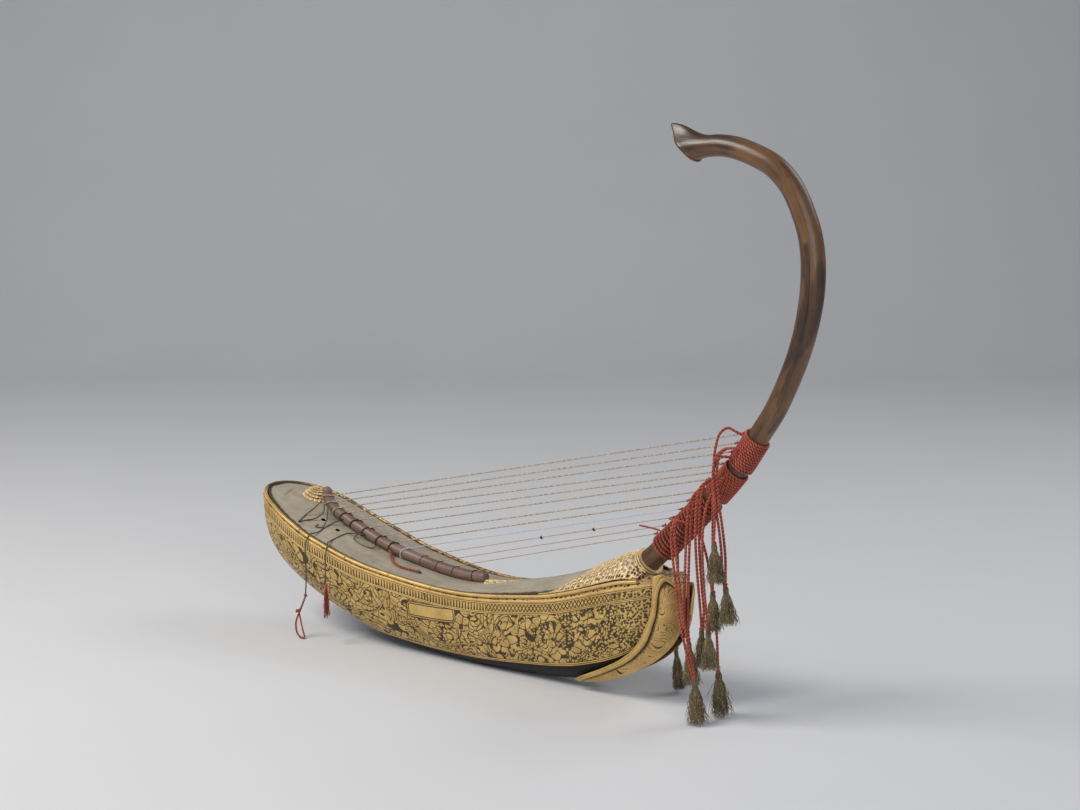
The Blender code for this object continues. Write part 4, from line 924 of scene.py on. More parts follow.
def mesh_object(name, vertices, faces, material, attributes):
    """Smooth object of one material, with point attributes."""
    mesh = bpy.data.meshes.new(name)
    mesh.from_pydata([tuple(v) for v in vertices], [], faces)
    mesh.validate()
    for key, values in attributes.items():
        data = np.asarray(values, dtype=np.float32).reshape(len(mesh.vertices), -1)
        kind, field = ATTRIBUTE_KINDS[data.shape[1]]
        mesh.attributes.new(key, kind, "POINT").data.foreach_set(field, data.ravel())
    mesh.shade_smooth()
    mesh.materials.append(material)
    thing = bpy.data.objects.new(name, mesh)
    bpy.context.collection.objects.link(thing)
    return thing


def grid_faces(start, rows, count, closed_across, caps):
    """Faces between rows of equally many points, and over the two ends."""
    faces = []
    for i in range(rows - 1):
        for j in range(count if closed_across else count - 1):
            a = start + i * count + j
            b = start + i * count + (j + 1) % count
            faces.append((a, b, b + count, a + count))
    if caps:
        end = start + (rows - 1) * count
        faces.append(tuple(range(start, start + count))[::-1])
        faces.append(tuple(range(end, end + count)))
    return faces


def grid_object(name, rows, material, closed_across=False, caps=False, flip=False, **attributes):
    """Surface through rows of equally many points."""
    faces = grid_faces(0, len(rows), len(rows[0]), closed_across, caps)
    if flip:
        faces = [face[::-1] for face in faces]
    thing = mesh_object(name, [p for row in rows for p in row], faces, material, attributes)
    thing.data.set_sharp_from_angle(angle=SHARP_ANGLE)
    return thing


def join(name, things):
    """One object from several, with their materials kept."""
    bpy.ops.object.select_all(action="DESELECT")
    for thing in things:
        thing.select_set(True)
    bpy.context.view_layer.objects.active = things[0]
    if len(things) > 1:
        bpy.ops.object.join()
    things[0].name = name
    things[0].data.name = name
    return things[0]


def add_piece(piece, body="root", nodes=()):
    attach(piece, body)
    if nodes:
        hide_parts(*nodes)
    return piece


def thicken(thing, thickness):
    solid = thing.modifiers.new("thickness", "SOLIDIFY")
    solid.thickness = thickness
    solid.offset = -1.0


def round_point(centre, first, second, size, angle):
    """Point at an angle on a circle that two directions span."""
    return centre + first * (size * cos(angle)) + second * (size * sin(angle))


def direction(path, i):
    """Direction of a path at one of its points."""
    return (path[min(i + 1, len(path) - 1)] - path[max(i - 1, 0)]).normalized()


def frames_along(points):
    """Two steady normals at each point of a path."""
    tangents = [direction(points, i) for i in range(len(points))]
    start = Vector((0, 0, 1)) if abs(tangents[0].z) < 0.9 else Vector((1, 0, 0))
    normal = (start - tangents[0] * start.dot(tangents[0])).normalized()
    frames = []
    for tangent in tangents:
        normal = (normal - tangent * normal.dot(tangent)).normalized()
        frames.append((normal, tangent.cross(normal)))
    return frames


def rope(name, points, diameter, material, lay=2.6, depth=0.30, sides=14, seed=0, step=None):
    """Cord of two plies that go once round each other in a lay, which is given in diameters."""
    length = path_length(points)
    step = step or diameter * lay / 2 / 5
    count = max(int(length / step), 8) + 1
    path = even_path(points, count)
    radius = diameter / 2
    rows = []
    strand = []
    crowns = []
    noise = np.random.default_rng(seed).normal(0.0, 1.0, count)
    for i, (place, (normal, side)) in enumerate(zip(path, frames_along(path))):
        run = length * i / (count - 1)
        turn = 2 * pi * run / (diameter * lay)
        row = []
        for j in range(sides):
            angle = 2 * pi * j / sides
            crown = abs(cos(angle - turn))
            size = radius * (1.0 - depth * (1.0 - crown) ** 1.6 - 0.02 * abs(noise[i]))
            row.append(round_point(place, normal, side, size, angle))
            strand.append((run, radius * cos(angle - turn), radius * sin(angle - turn)))
            # The crown, kept as the height attribute, sets the painted shade in the grooves between plies.
            crowns.append(crown)
        rows.append(row)
    return grid_object(name, rows, material, True, True, strand=strand, height=crowns)


def thin_tubes(name, paths, radius, material, sides):
    """Many thin threads as one mesh."""
    vertices = []
    faces = []
    strand = []
    for path in paths:
        faces += grid_faces(len(vertices), len(path), sides, True, True)
        run = 0.0
        for i, (place, (normal, side)) in enumerate(zip(path, frames_along(path))):
            run += (place - path[i - 1]).length if i else 0.0
            size = radius * (0.6 if i == len(path) - 1 else 1.0)
            for j in range(sides):
                angle = 2 * pi * j / sides
                vertices.append(round_point(place, normal, side, size, angle))
                across = path[0].y * 3.0 + radius * cos(angle)
                strand.append((run + path[0].x * 7.0, across, radius * sin(angle)))
    return mesh_object(name, vertices, faces, material, {"strand": strand, "height": [1.0] * len(vertices)})


# Body

HULL_STATIONS = 230
HULL_HALF_POINTS = 46
HULL_DECK_POINTS = 30
HULL_WOOD_MARGIN = 0.0090
TAIL_TAPER = 0.110
LINE_PROFILE = ((-0.5, -0.2, 0.4), (-0.35, 0.75, 0.9), (0.0, 1.0, 1.0), (0.35, 0.75, 0.9), (0.5, -0.2, 0.4))
LINE_HEIGHT = 0.0005


def cavity_depth(s, y):
    """How far the open inside lies below the deck."""
    first = CAVITY_TAIL_BLOCK / HULL_LENGTH
    last = 1.0 - CAVITY_NECK_BLOCK / HULL_LENGTH
    ends = min(max((s - first) / 0.006, 0.0), 1.0) * min(max((last - s) / 0.006, 0.0), 1.0)
    share = abs(y) / (half_width(s) - HULL_WALL)
    if share >= 1.0 or ends <= 0.0:
        return 0.0
    knee = rim_z(s)
    low = keel_z(s) + HULL_FLOOR
    floor_z = knee - (knee - low) * (1.0 - share**SECTION_POWER) ** (1 / SECTION_POWER)
    return ends * (deck_z(s, y) - floor_z)


def make_hull(materials):
    """Gilt boat body with its open inside; the stations stand closer together at the two ends."""
    half = HULL_HALF_POINTS
    rows = []
    pattern = []
    for i in range(HULL_STATIONS + 1):
        t = i / HULL_STATIONS
        s = 0.35 * t + 0.65 * ((1 - cos(pi * t)) / 2)
        section, length = half_section(s, half)
        taper = max(min(s * HULL_LENGTH / TAIL_TAPER, 1.0), 0.12)
        row = []
        for side, order in ((-1, range(half)), (1, range(half - 2, -1, -1))):
            for j in order:
                point = section[j]
                row.append(Vector((point.x, -side * point.y, point.z)))
                below = length * j / (half - 1)
                pattern.append((hull_x(s), below, (length - below) / taper))
        wide = half_width(s)
        for j in range(1, HULL_DECK_POINTS):
            y = wide * (1.0 - 2.0 * j / HULL_DECK_POINTS)
            row.append(Vector((hull_x(s), y, deck_z(s, y) - cavity_depth(s, y))))
            pattern.append((hull_x(s), -0.01, 0.5))
        rows.append(row)
    hull = grid_object("hull_body", rows, materials["field"], True, True, pattern=pattern)
    hull.data.materials.append(materials["deck"])
    hull.data.materials.append(materials["lace"])
    gilt_from = hull_x(collar_share()) - SKIN_NECK_SPACE
    for face in hull.data.polygons:
        columns = [vertex % len(rows[0]) for vertex in face.vertices]
        if sum(c >= 2 * half - 1 for c in columns) >= 2 and len(columns) == 4:
            margin = half_width(hull_share(face.center.x)) - abs(face.center.y)
            face.material_index = 2 if face.center.x > gilt_from or margin < HULL_WOOD_MARGIN else 1
    return add_piece(hull, nodes=["hull"])


def make_rim(materials):
    """Gilt moulding on the rim, a double roll with a dark groove, run round the tail."""
    lift = GAP + FACET + RIM_BEAD_DIAMETER / 2
    first = RIM_BEAD_INSET / HULL_LENGTH
    stop = collar_share() + RIM_BEAD_RUN / HULL_LENGTH
    count = 150
    near = []
    for i in range(count + 1):
        t = i / count
        s = first + (stop - first) * (0.4 * t + 0.6 * t * t)
        near.append(on_deck(s, -half_width(s, RIM_BEAD_INSET) if i else 0.0, lift))
    far = [Vector((p.x, -p.y, p.z)) for p in near]
    path = even_path(near[::-1] + far[1:], count * 4)

    profile = []
    shown = []
    for j in range(28):
        angle = 2 * pi * j / 28
        upper = sin(angle) > 0
        dip = 0.34 * (1.0 - min(abs(cos(angle)) * 3.0, 1.0)) if upper else 0.0
        size = RIM_BEAD_DIAMETER / 2 * (1.0 - dip) * (0.9 + 0.1 * (abs(cos(angle)) if upper else 1.0))
        profile.append((size * cos(angle) * 1.05, size * sin(angle)))
        shown.append(0.0 if dip > 0.2 else 1.0)
    rows = []
    for i, place in enumerate(path):
        tangent = direction(path, i)
        out = tangent.cross(Vector((0, 0, 1))).normalized()
        above = out.cross(tangent).normalized()
        rows.append([place + out * a + above * b for a, b in profile])
    rim = grid_object("rim_moulding", rows, materials["rim"], True, True, height=shown * len(rows))
    return add_piece(rim, nodes=["rim_bead"])


def hull_line(below, width, material, first=0.012, last=0.935, from_keel=False):
    """Raised gilt line along both sides of the body, at one distance below the rim or up from the keel."""
    things = []
    count = 300
    for side in (-1, 1):
        rows = []
        for i in range(count + 1):
            section, length = half_section(first + (last - first) * i / count, 160)
            middle = length - below if from_keel else below
            row = []
            for shift, rise, shown in LINE_PROFILE:
                place = min(max((middle + shift * width) / length, 0.0), 0.999) * (len(section) - 1)
                j = int(floor(place))
                tangent = section[j + 1] - section[j]
                out = Vector((0.0, tangent.z, -tangent.y)).normalized()
                if out.y > 0:
                    out = -out
                point = section[j].lerp(section[j + 1], place - j) + out * (LINE_HEIGHT * rise)
                row.append(Vector((point.x, -side * point.y, point.z)))
            rows.append(row)
        shown = [shown for shift, rise, shown in LINE_PROFILE]
        things.append(grid_object("hull_lines", rows, material, flip=side > 0, height=shown * len(rows)))
    return things


def make_hull_lines(materials):
    gold = materials["relief"]
    top = LADDER_MIDDLE - LADDER_HEIGHT / 2
    low = LADDER_MIDDLE + LADDER_HEIGHT / 2
    lines = ((0.0022, 0.0026), (top - 0.0012, 0.0014), (low + 0.0012, 0.0013), (low + 0.0033, 0.0015))
    things = []
    for below, width in lines:
        things += hull_line(below, width, gold)
    for above in (0.0009, 0.0037):
        things += hull_line(KEEL_BLACK + above, 0.0018, gold, 0.06, 0.90, True)
    return add_piece(join("hull_lines", things))


# Filigree, leaves, collar and rosette

def cell_noise(a, b, size, seed):
    """Nearest of a jittered grid of middles: distance, angle and a number for each cell."""
    a = np.asarray(a) / size
    b = np.asarray(b) / size
    best = np.full(a.shape, 9.0)
    angle = np.zeros(a.shape)
    chance = np.zeros(a.shape)
    for da in (-1, 0, 1):
        for db in (-1, 0, 1):
            ca = np.floor(a) + da
            cb = np.floor(b) + db
            key = np.sin(ca * 127.1 + cb * 311.7 + seed * 74.7) * 43758.5453
            other = np.sin(ca * 269.5 + cb * 183.3 + seed * 24.3) * 43758.5453
            ja = key - np.floor(key)
            jb = other - np.floor(other)
            va = a - (ca + 0.2 + 0.6 * ja)
            vb = b - (cb + 0.2 + 0.6 * jb)
            distance = np.hypot(va, vb)
            nearer = distance < best
            angle = np.where(nearer, np.arctan2(vb, va), angle)
            chance = np.where(nearer, ja, chance)
            best = np.where(nearer, distance, best)
    return best * size, angle, chance


def filigree(a, b, from_edge, size, seed, border, border_half, fade):
    """Height of pierced tendrils and their border line, from 0 in the openings to 1 on the metal."""
    radius = cell_noise(a, b, size, seed)[0]
    holes = np.clip((radius - size * 0.25) / (size * 0.14), 0.0, 1.0)
    wide, turn, pick = cell_noise(a, b, size * 2.6, seed + 5)
    way = np.where(pick > 0.5, 1.0, -1.0)
    curl = 0.5 + 0.5 * np.cos(2 * pi * wide / (size * 0.95) + way * turn + pick * 9.0)
    heights = np.clip(holes * (0.62 + 0.38 * curl), 0.0, 1.0)
    heights = np.maximum(heights, np.clip(1.0 - np.abs(from_edge - border) / border_half, 0.0, 1.0))
    return heights * np.clip(from_edge / fade, 0.0, 1.0)


def relief_rows(grid, lift, rises):
    """Rows of points that stand a rise off the deck at each (s, y) of a grid."""
    rows = []
    for places, heights in zip(grid, rises):
        row = []
        for (s, y), rise in zip(places, heights):
            normal = (on_deck(s, y, 0.01) - on_deck(s, y, 0.0)).normalized()
            row.append(on_deck(s, y, lift) + normal * rise)
        rows.append(row)
    return rows


def make_shoulder_relief(materials):
    """Pierced gilt tendrils over the shoulders, whose two arms run along the rim."""
    last = collar_share() + 0.006 / HULL_LENGTH
    tip = collar_share() - (SKIN_NECK_SPACE + RELIEF_TIP) / HULL_LENGTH
    throat = collar_share() - (SKIN_NECK_SPACE + RELIEF_DEPTH - 0.030) / HULL_LENGTH
    stations = 210
    columns = 72
    things = []
    for side in (-1, 1):
        grid = []
        from_edge = []
        for i in range(stations + 1):
            s = tip + (last - tip) * i / stations
            edge = half_width(s, SKIN_MARGIN - 0.0022)
            share = min(max((s - tip) / (throat - tip), 0.0), 1.0)
            open_to = min(max(edge * (1.0 - share**2.0), 0.0), edge - RELIEF_THICKNESS)
            grid.append([(s, side * (open_to + (edge - open_to) * k / columns)) for k in range(columns + 1)])
            from_edge += [min(k, columns - k) / columns * (edge - open_to) for k in range(columns + 1)]
        flat = np.array([(hull_x(s), y) for row in grid for s, y in row])
        # The openings are not cut through: the height attribute paints them dark, as painted shade.
        heights = filigree(flat[:, 0], flat[:, 1], np.array(from_edge), 0.0047, 3, 0.0011, 0.0009, 0.0006)
        rises = RELIEF_THICKNESS * heights.reshape(len(grid), -1)
        rows = relief_rows(grid, skin_top() + FACET * 2, rises)
        gilt = materials["filigree"]
        things.append(grid_object("shoulder_filigree", rows, gilt, flip=side < 0, height=heights))
    return add_piece(join("shoulder_filigree", things), nodes=["shoulder_relief"])


def make_bar_relief(materials):
    """Gilt arrow of tendrils on the table's ridge in front of the string bar."""
    start = bar_point(0.0).x + GAP * 3
    stations = 100
    columns = 25
    grid = []
    from_edge = []
    for i in range(stations):
        share = i / (stations - 1)
        half = BAR_RELIEF_WIDTH * 0.62 * (1.0 - share) ** 0.75 + GAP * 2
        s = hull_share(start + BAR_RELIEF_LENGTH * share)
        grid.append([(s, half * (k / 12 - 1)) for k in range(columns)])
        from_edge += [min(k, 24 - k) / 12 * half for k in range(columns)]
    flat = np.array([(hull_x(s), y) for row in grid for s, y in row])
    # The openings are not cut through: the height attribute paints them dark, as painted shade.
    heights = filigree(flat[:, 0], flat[:, 1], np.array(from_edge), 0.0034, 8, 0.0008, 0.0006, 0.0004)
    blunt_start = np.sqrt(np.clip(np.linspace(0.0, 24.0, stations), 0.0, 1.0))
    along_arrow = np.linspace(0.0065, 0.0012, stations) * blunt_start
    swell = np.sin(np.linspace(0.0, pi, columns))[None, :] ** 0.6 * along_arrow[:, None]
    rises = (0.35 + 0.65 * heights.reshape(stations, columns)) * swell
    rows = relief_rows(grid, skin_top() + FACET, rises)
    thing = grid_object("bar_end_filigree", rows, materials["filigree"], height=heights)
    return add_piece(thing, nodes=["bar_end_relief"])


def leaf_line(table, u):
    """Share of the body's length, and height, of a line of the leaf."""
    return [spline_value([(row[0], row[k]) for row in table], u) for k in (1, 2)]


def leaf_place(u, v):
    across = 1.0 - (1.0 - v) ** 1.7
    groove_s, groove_z = leaf_line(LEAF_GROOVE, u)
    edge_s, edge_z = leaf_line(LEAF_EDGE, u)
    groove_z *= HULL_HEIGHT
    edge_z *= HULL_HEIGHT
    s = groove_s + (edge_s - groove_s) * across
    lobe = LEAF_LOBE * sin(pi * v) * max(u - 0.8, 0.0) / 0.2
    z = groove_z + (edge_z - groove_z) * across + lobe
    top = rim_z(s)
    low = HULL_HEIGHT * spline_value(KEEL_LINE, s) - KEEL_FLAT_DEPTH
    share = min(max((top - z) / (top - low), 0.0), 1.0)
    y = half_width(s) * (1.0 - share**SECTION_POWER) ** (1 / SECTION_POWER)
    return Vector((hull_x(s), max(y, LEAF_SPLIT / 2), z))


def swirl_lines(x, z):
    """One on the fine engraved lines that curl over a leaf's blade."""
    a = x * 118.0 + 1.3 * sin(z * 102.0 + 0.7) + 0.7 * sin(x * 180.0 - z * 70.0)
    b = z * 98.0 + 1.1 * sin(x * 140.0 + 1.9) + 0.6 * sin(z * 210.0 + x * 60.0)
    level = (sin(a) + sin(b) + 0.5 * sin(a * 0.6 + b * 1.3)) * 2.3
    line = abs(level - floor(level) - 0.5) * 2.0
    return max(1.0 - line / 0.55, 0.0)


# Across a leaf, from its edge inward: where the lip, the dark flute, the roll and the groove end
LEAF_LIP_END = 0.0012
LEAF_FLUTE_END = 0.0022
LEAF_ROLL_END = 0.0052
LEAF_GROOVE_END = 0.0100
LEAF_CORNER = 0.022
LEAF_RING_PITCH = 0.0030


def leaf_height(u, v, width, point):
    """Height over a leaf's blade, and how dark it lies."""
    low = v * width
    top = (1 - u) * 0.24
    inset = min(low, top)
    if low < LEAF_CORNER and top < LEAF_CORNER:
        inset = LEAF_CORNER - sqrt((LEAF_CORNER - low) ** 2 + (LEAF_CORNER - top) ** 2)
    from_edge = (1 - v) * width
    if inset < LEAF_LIP_END:
        return 0.80, 0.95
    if inset < LEAF_FLUTE_END:
        return 0.45, 0.05
    if inset < LEAF_ROLL_END:
        return 1.0 - 0.25 * ((inset - 0.0037) / 0.0015) ** 2, 1.0
    if inset < LEAF_GROOVE_END:
        # The groove is painted darker the deeper it lies, darkest next to the roll: painted shade.
        share = 0.45 * (inset - LEAF_ROLL_END) / (LEAF_GROOVE_END - LEAF_ROLL_END)
        return 0.05 + share, share
    height = 0.52 + 0.38 * sin(pi * min((inset - LEAF_GROOVE_END) / 0.010, 1.0) / 2)
    if from_edge < LEAF_GROOVE_END:
        ring = cos(2 * pi * from_edge / LEAF_RING_PITCH)
        return height + 0.07 * ring, 0.10 if ring < -0.1 else 0.95
    line = swirl_lines(point.x, point.z)
    return height - 0.10 * line, 0.95 - 0.95 * line


def make_leaf(materials, name, node, side):
    """Carved gilt leaf: raised rims, a deep groove inside them and an engraved blade."""
    last_row = 260
    columns = 96
    reach = 1.0 if side < 0 else 0.93
    places = []
    for i in range(last_row + 1):
        share = (1 - LEAF_TIP) * i / last_row
        places.append([leaf_place(LEAF_TIP + share * (reach - 0.09 * (j / columns) ** 3), j / columns)
                       for j in range(columns + 1)])
    rows = []
    heights = []
    for i in range(last_row + 1):
        row = []
        width = (places[i][columns] - places[i][0]).length
        for j in range(columns + 1):
            rise = places[min(i + 1, last_row)][j] - places[max(i - 1, 0)][j]
            across = places[i][min(j + 1, columns)] - places[i][max(j - 1, 0)]
            normal = across.cross(rise)
            if normal.length < 1e-12:
                normal = Vector((0.3, 1.0, 0.0))
            normal.normalize()
            if normal.y < 0:
                normal = -normal
            height, shown = leaf_height(i / last_row, j / columns, width, places[i][j])
            place = places[i][j] + normal * (GAP + FACET + LEAF_THICKNESS * (0.30 + 0.72 * height))
            row.append(Vector((place.x, side * place.y, place.z)))
            heights.append(shown)
        rows.append(row)
    leaf = grid_object(name, rows, materials["leaf"], flip=side < 0, height=heights)
    thicken(leaf, LEAF_THICKNESS * 0.35)
    return add_piece(leaf, nodes=[node])


def make_collar(materials, path):
    """Two slim gilt beads round the neck's foot, with dark lines beside them."""
    base, tangent, normal = along(path, 0.0)
    inner = neck_radius(path, 0.0) + GAP
    outer = COLLAR_DIAMETER / 2 - 0.0006
    stations = 48
    count = 140
    rows = []
    heights = []
    for i in range(stations + 1):
        shift = 2.0 * i / stations - 1.0
        bead = abs(cos(pi * shift))
        rise = 0.45 + 0.55 * bead ** 0.7 if abs(shift) < 0.97 else 0.0
        centre = base + tangent * (COLLAR_LENGTH / 2 * shift)
        row = []
        for j in range(count):
            angle = 2 * pi * j / count
            corded = 0.04 * sin(angle * 46 + shift * 6.0) if -0.9 < shift < -0.1 else 0.0
            radius = inner + (outer - inner) * (rise + corded)
            row.append(round_point(centre, normal, Y_AXIS, radius, angle))
            heights.append(min(max((bead - 0.30) * 2.2 + corded * 4.0, 0.0), 1.0))
        rows.append(row)
    collar = grid_object("collar_beads", rows, materials["relief_pale"], True, height=heights)
    return add_piece(collar, nodes=["neck_collar"])


PETAL_TIERS = (19, 17, 15, 12, 9, 6)


def make_rosette(materials):
    """Domed flower: rings of small overlapping gilt petals, no two quite alike."""
    x = bar_point(1.0).x - BAR_HOOK_REACH - BAR_DIAMETER / 2 - ROSETTE_DIAMETER / 2 - ROSETTE_SPACE
    s = hull_share(x)
    foot = on_deck(s, ROSETTE_SIDE, skin_top() + GAP + FACET)
    up = (foot - on_deck(s, ROSETTE_SIDE, 0.0)).normalized()
    front = Y_AXIS.cross(up).normalized()
    side = up.cross(front)
    rings = 120
    around = 288
    lengths = np.random.default_rng(12).uniform(0.62, 1.0, (6, 20))
    rows = []
    heights = []
    for i in range(rings + 1):
        t = i / rings
        tier = t * 5.4
        number = min(int(tier), 5)
        within = tier - number
        petals = PETAL_TIERS[number]
        dome = ROSETTE_HEIGHT * sin(pi / 2 * min(t * 1.08, 1.0)) * 0.84
        row = []
        for j in range(around):
            angle = 2 * pi * j / around
            spot = angle * petals / (2 * pi) + 0.5 * (number % 2) + 0.22 * sin(angle * 3 + number * 1.7)
            across = abs(spot % 1.0 - 0.5) * 2
            long = lengths[number][int(floor(spot)) % petals]
            petal = sqrt(max(1.0 - across**2, 0.0)) * long
            lip = petal * max(1.0 - within / long, 0.0) ** 0.6
            vein = 0.25 if across < 0.14 and within < 0.7 else 0.0
            flat = ROSETTE_DIAMETER / 2 * (1.0 - t) ** 0.80 * (0.95 + 0.05 * petal)
            out = 0.0030 * (lip - vein * 0.4)
            rise = up * (dome + out * (0.5 + 0.5 * t))
            rise += (front * cos(angle) + side * sin(angle)) * (out * (1 - t))
            row.append(round_point(foot, front, side, flat, angle) + rise)
            # Each ring of petals is painted dark where it goes under the next ring: painted shade.
            heights.append(0.42 + 0.58 * min(max(lip * 1.4 - vein, 0.0), 1.0) if within < 0.90 else 0.15)
        rows.append(row)
    rosette = grid_object("rosette_petals", rows, materials["relief_pale"], True, True, True, height=heights)
    return add_piece(rosette, nodes=["tail_rosette"])


# Skin

SKIN_MARKS = (
    # x, y, half length along x, half width, angle, colour
    (-0.4556, -0.0071, 0.0234, 0.0010, 1.93, (0.230, 0.085, 0.045)),
    (-0.3720, -0.0620, 0.0035, 0.0022, 0.10, (0.220, 0.095, 0.035)),
)
TEAR_LINE = ((-0.0180, -0.0450, 0.0), (-0.0150, -0.0340, 0.0), (-0.0090, -0.0220, 0.0),
             (0.0080, -0.0180, 0.0))
TEAR_WIDTH = 0.0022
TEAR_PROFILE = ((-1.0, 0.0), (-0.7, 0.0006), (0.0, 0.0001), (0.7, 0.0005), (1.0, 0.0))


def skin_mark(x, y):
    """Colour and strength of an old mark on the skin."""
    for mark_x, mark_y, long, wide, angle, color in SKIN_MARKS:
        a = (x - mark_x) * cos(angle) + (y - mark_y) * sin(angle)
        b = (y - mark_y) * cos(angle) - (x - mark_x) * sin(angle)
        reach = (a / long) ** 2 + (b / (wide + 0.0012)) ** 2
        if reach < 1.0:
            return (*color, 0.8 * (1.0 - reach))
    return (0.0, 0.0, 0.0, 0.0)


def cut_hole(thing, x, y, material):
    """Round hole through the skin, its walls near-black as painted shade."""
    bpy.ops.mesh.primitive_cylinder_add(vertices=32, radius=SOUND_HOLE_DIAMETER / 2, depth=0.02,
                                        location=(x, y, deck_z(hull_share(x), y)))
    cutter = bpy.context.active_object
    cutter.data.materials.append(material)
    boolean = thing.modifiers.new("hole", "BOOLEAN")
    boolean.operation = "DIFFERENCE"
    boolean.material_mode = "TRANSFER"
    boolean.object = cutter
    bpy.context.view_layer.objects.active = thing
    bpy.ops.object.modifier_apply(modifier="hole")
    bpy.data.objects.remove(cutter, do_unlink=True)


def make_skin(materials):
    """Hide stretched over the table, with four sound holes and old marks."""
    first = 0.0085 / HULL_LENGTH
    last = collar_share() - 0.010 / HULL_LENGTH
    stations = 260
    columns = 72
    holes = []
    for i in range(4):
        x = bar_point(1.0).x - SOUND_HOLE_SPACE + SOUND_HOLE_PITCH * (i // 2)
        holes.append((x, SOUND_HOLE_SPREAD / 2 * (1 if i % 2 else -1)))
    rows = []
    edges = []
    tones = []
    for i in range(stations + 1):
        t = i / stations
        s = first + (last - first) * (0.75 * t + 0.25 * t * t)
        x = hull_x(s)
        edge = half_width(s, SKIN_MARGIN)
        from_tail = (s - first) * HULL_LENGTH
        tail = max(1.0 - from_tail / TAIL_TAPER, 0.0)
        row = []
        for k in range(columns + 1):
            y = edge * (2.0 * k / columns - 1.0)
            lift = skin_top()
            for hole_x, hole_y in holes:
                distance = sqrt((x - hole_x) ** 2 + (y - hole_y) ** 2)
                lift += 0.0007 * max(1.0 - abs(distance - SOUND_HOLE_DIAMETER * 0.62) / 0.003, 0.0)
            row.append(on_deck(s, y, lift))
            edges.append(min(edge - abs(y), from_tail + 0.002) - 0.0036 * tail)
            tones.append(skin_mark(x, y))
        rows.append(row)
    skin = grid_object("skin_table", rows, materials["skin"], edge=edges, tone=tones)
    thicken(skin, SKIN_THICKNESS * 0.8)
    bpy.context.view_layer.objects.active = skin
    bpy.ops.object.modifier_apply(modifier="thickness")
    for x, y in holes:
        cut_hole(skin, x, y, materials["black"])
    return add_piece(skin, nodes=["soundboard_skin"])


def make_skin_tear(materials):
    """Narrow split in the skin, drawn as a near-black strip of painted shade, its edges curled up a little.
    """
    path = smooth_path(TEAR_LINE, 40)
    rows = []
    for i, place in enumerate(path):
        share = i / (len(path) - 1)
        half = TEAR_WIDTH / 2 * sin(pi * (0.06 + 0.88 * share)) * (0.75 + 0.25 * sin(share * 31.0))
        tangent = direction(path, i)
        across = Vector((-tangent.y, tangent.x, 0.0)).normalized()
        row = []
        for k, rise in TEAR_PROFILE:
            spot = place + across * (half * k)
            row.append(on_deck(hull_share(spot.x), spot.y, skin_top() + 0.00015 + rise))
        rows.append(row)
    return add_piece(grid_object("skin_tear", rows, materials["black"], flip=True))


# Bar and neck

def make_bar(materials):
    """Purple-brown string bar that turns up at the tail into a small horn with a blunt round tip."""
    line = bar_line()
    end = bar_length(line) - 0.0075
    steps = 260
    count = 32
    centres = []
    radii = []
    for k in range(steps + 1):
        distance = end * k / steps
        centre, radius, above = bar_frame(line, distance)
        nose = min(distance / 0.004, 1.0)
        blunt = min((end - distance) / 0.0050, 1.0)
        radius = max(radius, 0.0046) * (0.80 + 0.20 * sin(pi / 2 * nose))
        centres.append(centre)
        radii.append(radius * max(sqrt(1.0 - (1.0 - blunt) ** 2), 0.08))
    rows = []
    grain = []
    for i, (centre, radius) in enumerate(zip(centres, radii)):
        normal = Y_AXIS.cross(direction(centres, i)).normalized()
        angles = [2 * pi * j / count for j in range(count)]
        rows.append([round_point(centre, normal, Y_AXIS, radius, angle) for angle in angles])
        grain += [(end * i / steps, radius * cos(angle), radius * sin(angle)) for angle in angles]
    flat = [0.0] * len(grain)
    bar = grid_object("bar_wood_piece", rows, materials["bar"], True, True, grain=grain, height=flat)
    return add_piece(bar, nodes=["string_bar"])


FINIAL_BACK = ((0.35, 1.0), (0.75, 0.985), (1.0, 0.955))
FINIAL_FACE = ((0.35, 0.90), (0.75, 0.80), (1.0, 0.60), (1.1, 0.35), (1.15, 0.12))


def finial_rings(place, tangent, normal, radius, count):
    """Flare of the neck's end into an upright leaf that faces the tail."""
    up = Vector((-sin(FINIAL_LEAN), 0.0, cos(FINIAL_LEAN)))
    rings = []
    face = place + tangent * (FINIAL_LENGTH * 0.55)
    for share, size in FINIAL_STAGES:
        centre = place.lerp(face, share)
        leaning = (normal * -1.0).lerp(up, size).normalized()
        ring = []
        for j in range(count):
            angle = 2 * pi * j / count
            tall = -cos(angle)
            point = max(tall, 0.0)
            rise = FINIAL_LENGTH * (0.40 * tall + 0.20 * point**8)
            wide = FINIAL_WIDTH * 0.345 * sin(angle) * (1.0 - 0.55 * point**2)
            bend = Vector((0.0080, 0.0, 0.0050)) * (point**4 * size)
            bend += Vector((0.0045, 0.0, 0.0)) * ((1.0 - tall * tall) * size)
            rise = radius * tall * (1 - size) + rise * size
            wide = radius * sin(angle) * (1 - size) + wide * size
            ring.append(centre + leaning * rise + Y_AXIS * wide + bend)
        rings.append(ring)
    lip = tangent * FINIAL_LIP
    middle = face + lip
    edge = [p + lip for p in rings[-1]]
    for out, shrink in FINIAL_BACK:
        rings.append([middle.lerp(p, shrink) - tangent * FINIAL_LIP * (1 - out) for p in edge])
    for dish, shrink in FINIAL_FACE:
        rings.append([middle.lerp(p, shrink) - tangent * FINIAL_DISH * dish for p in edge])
    return rings


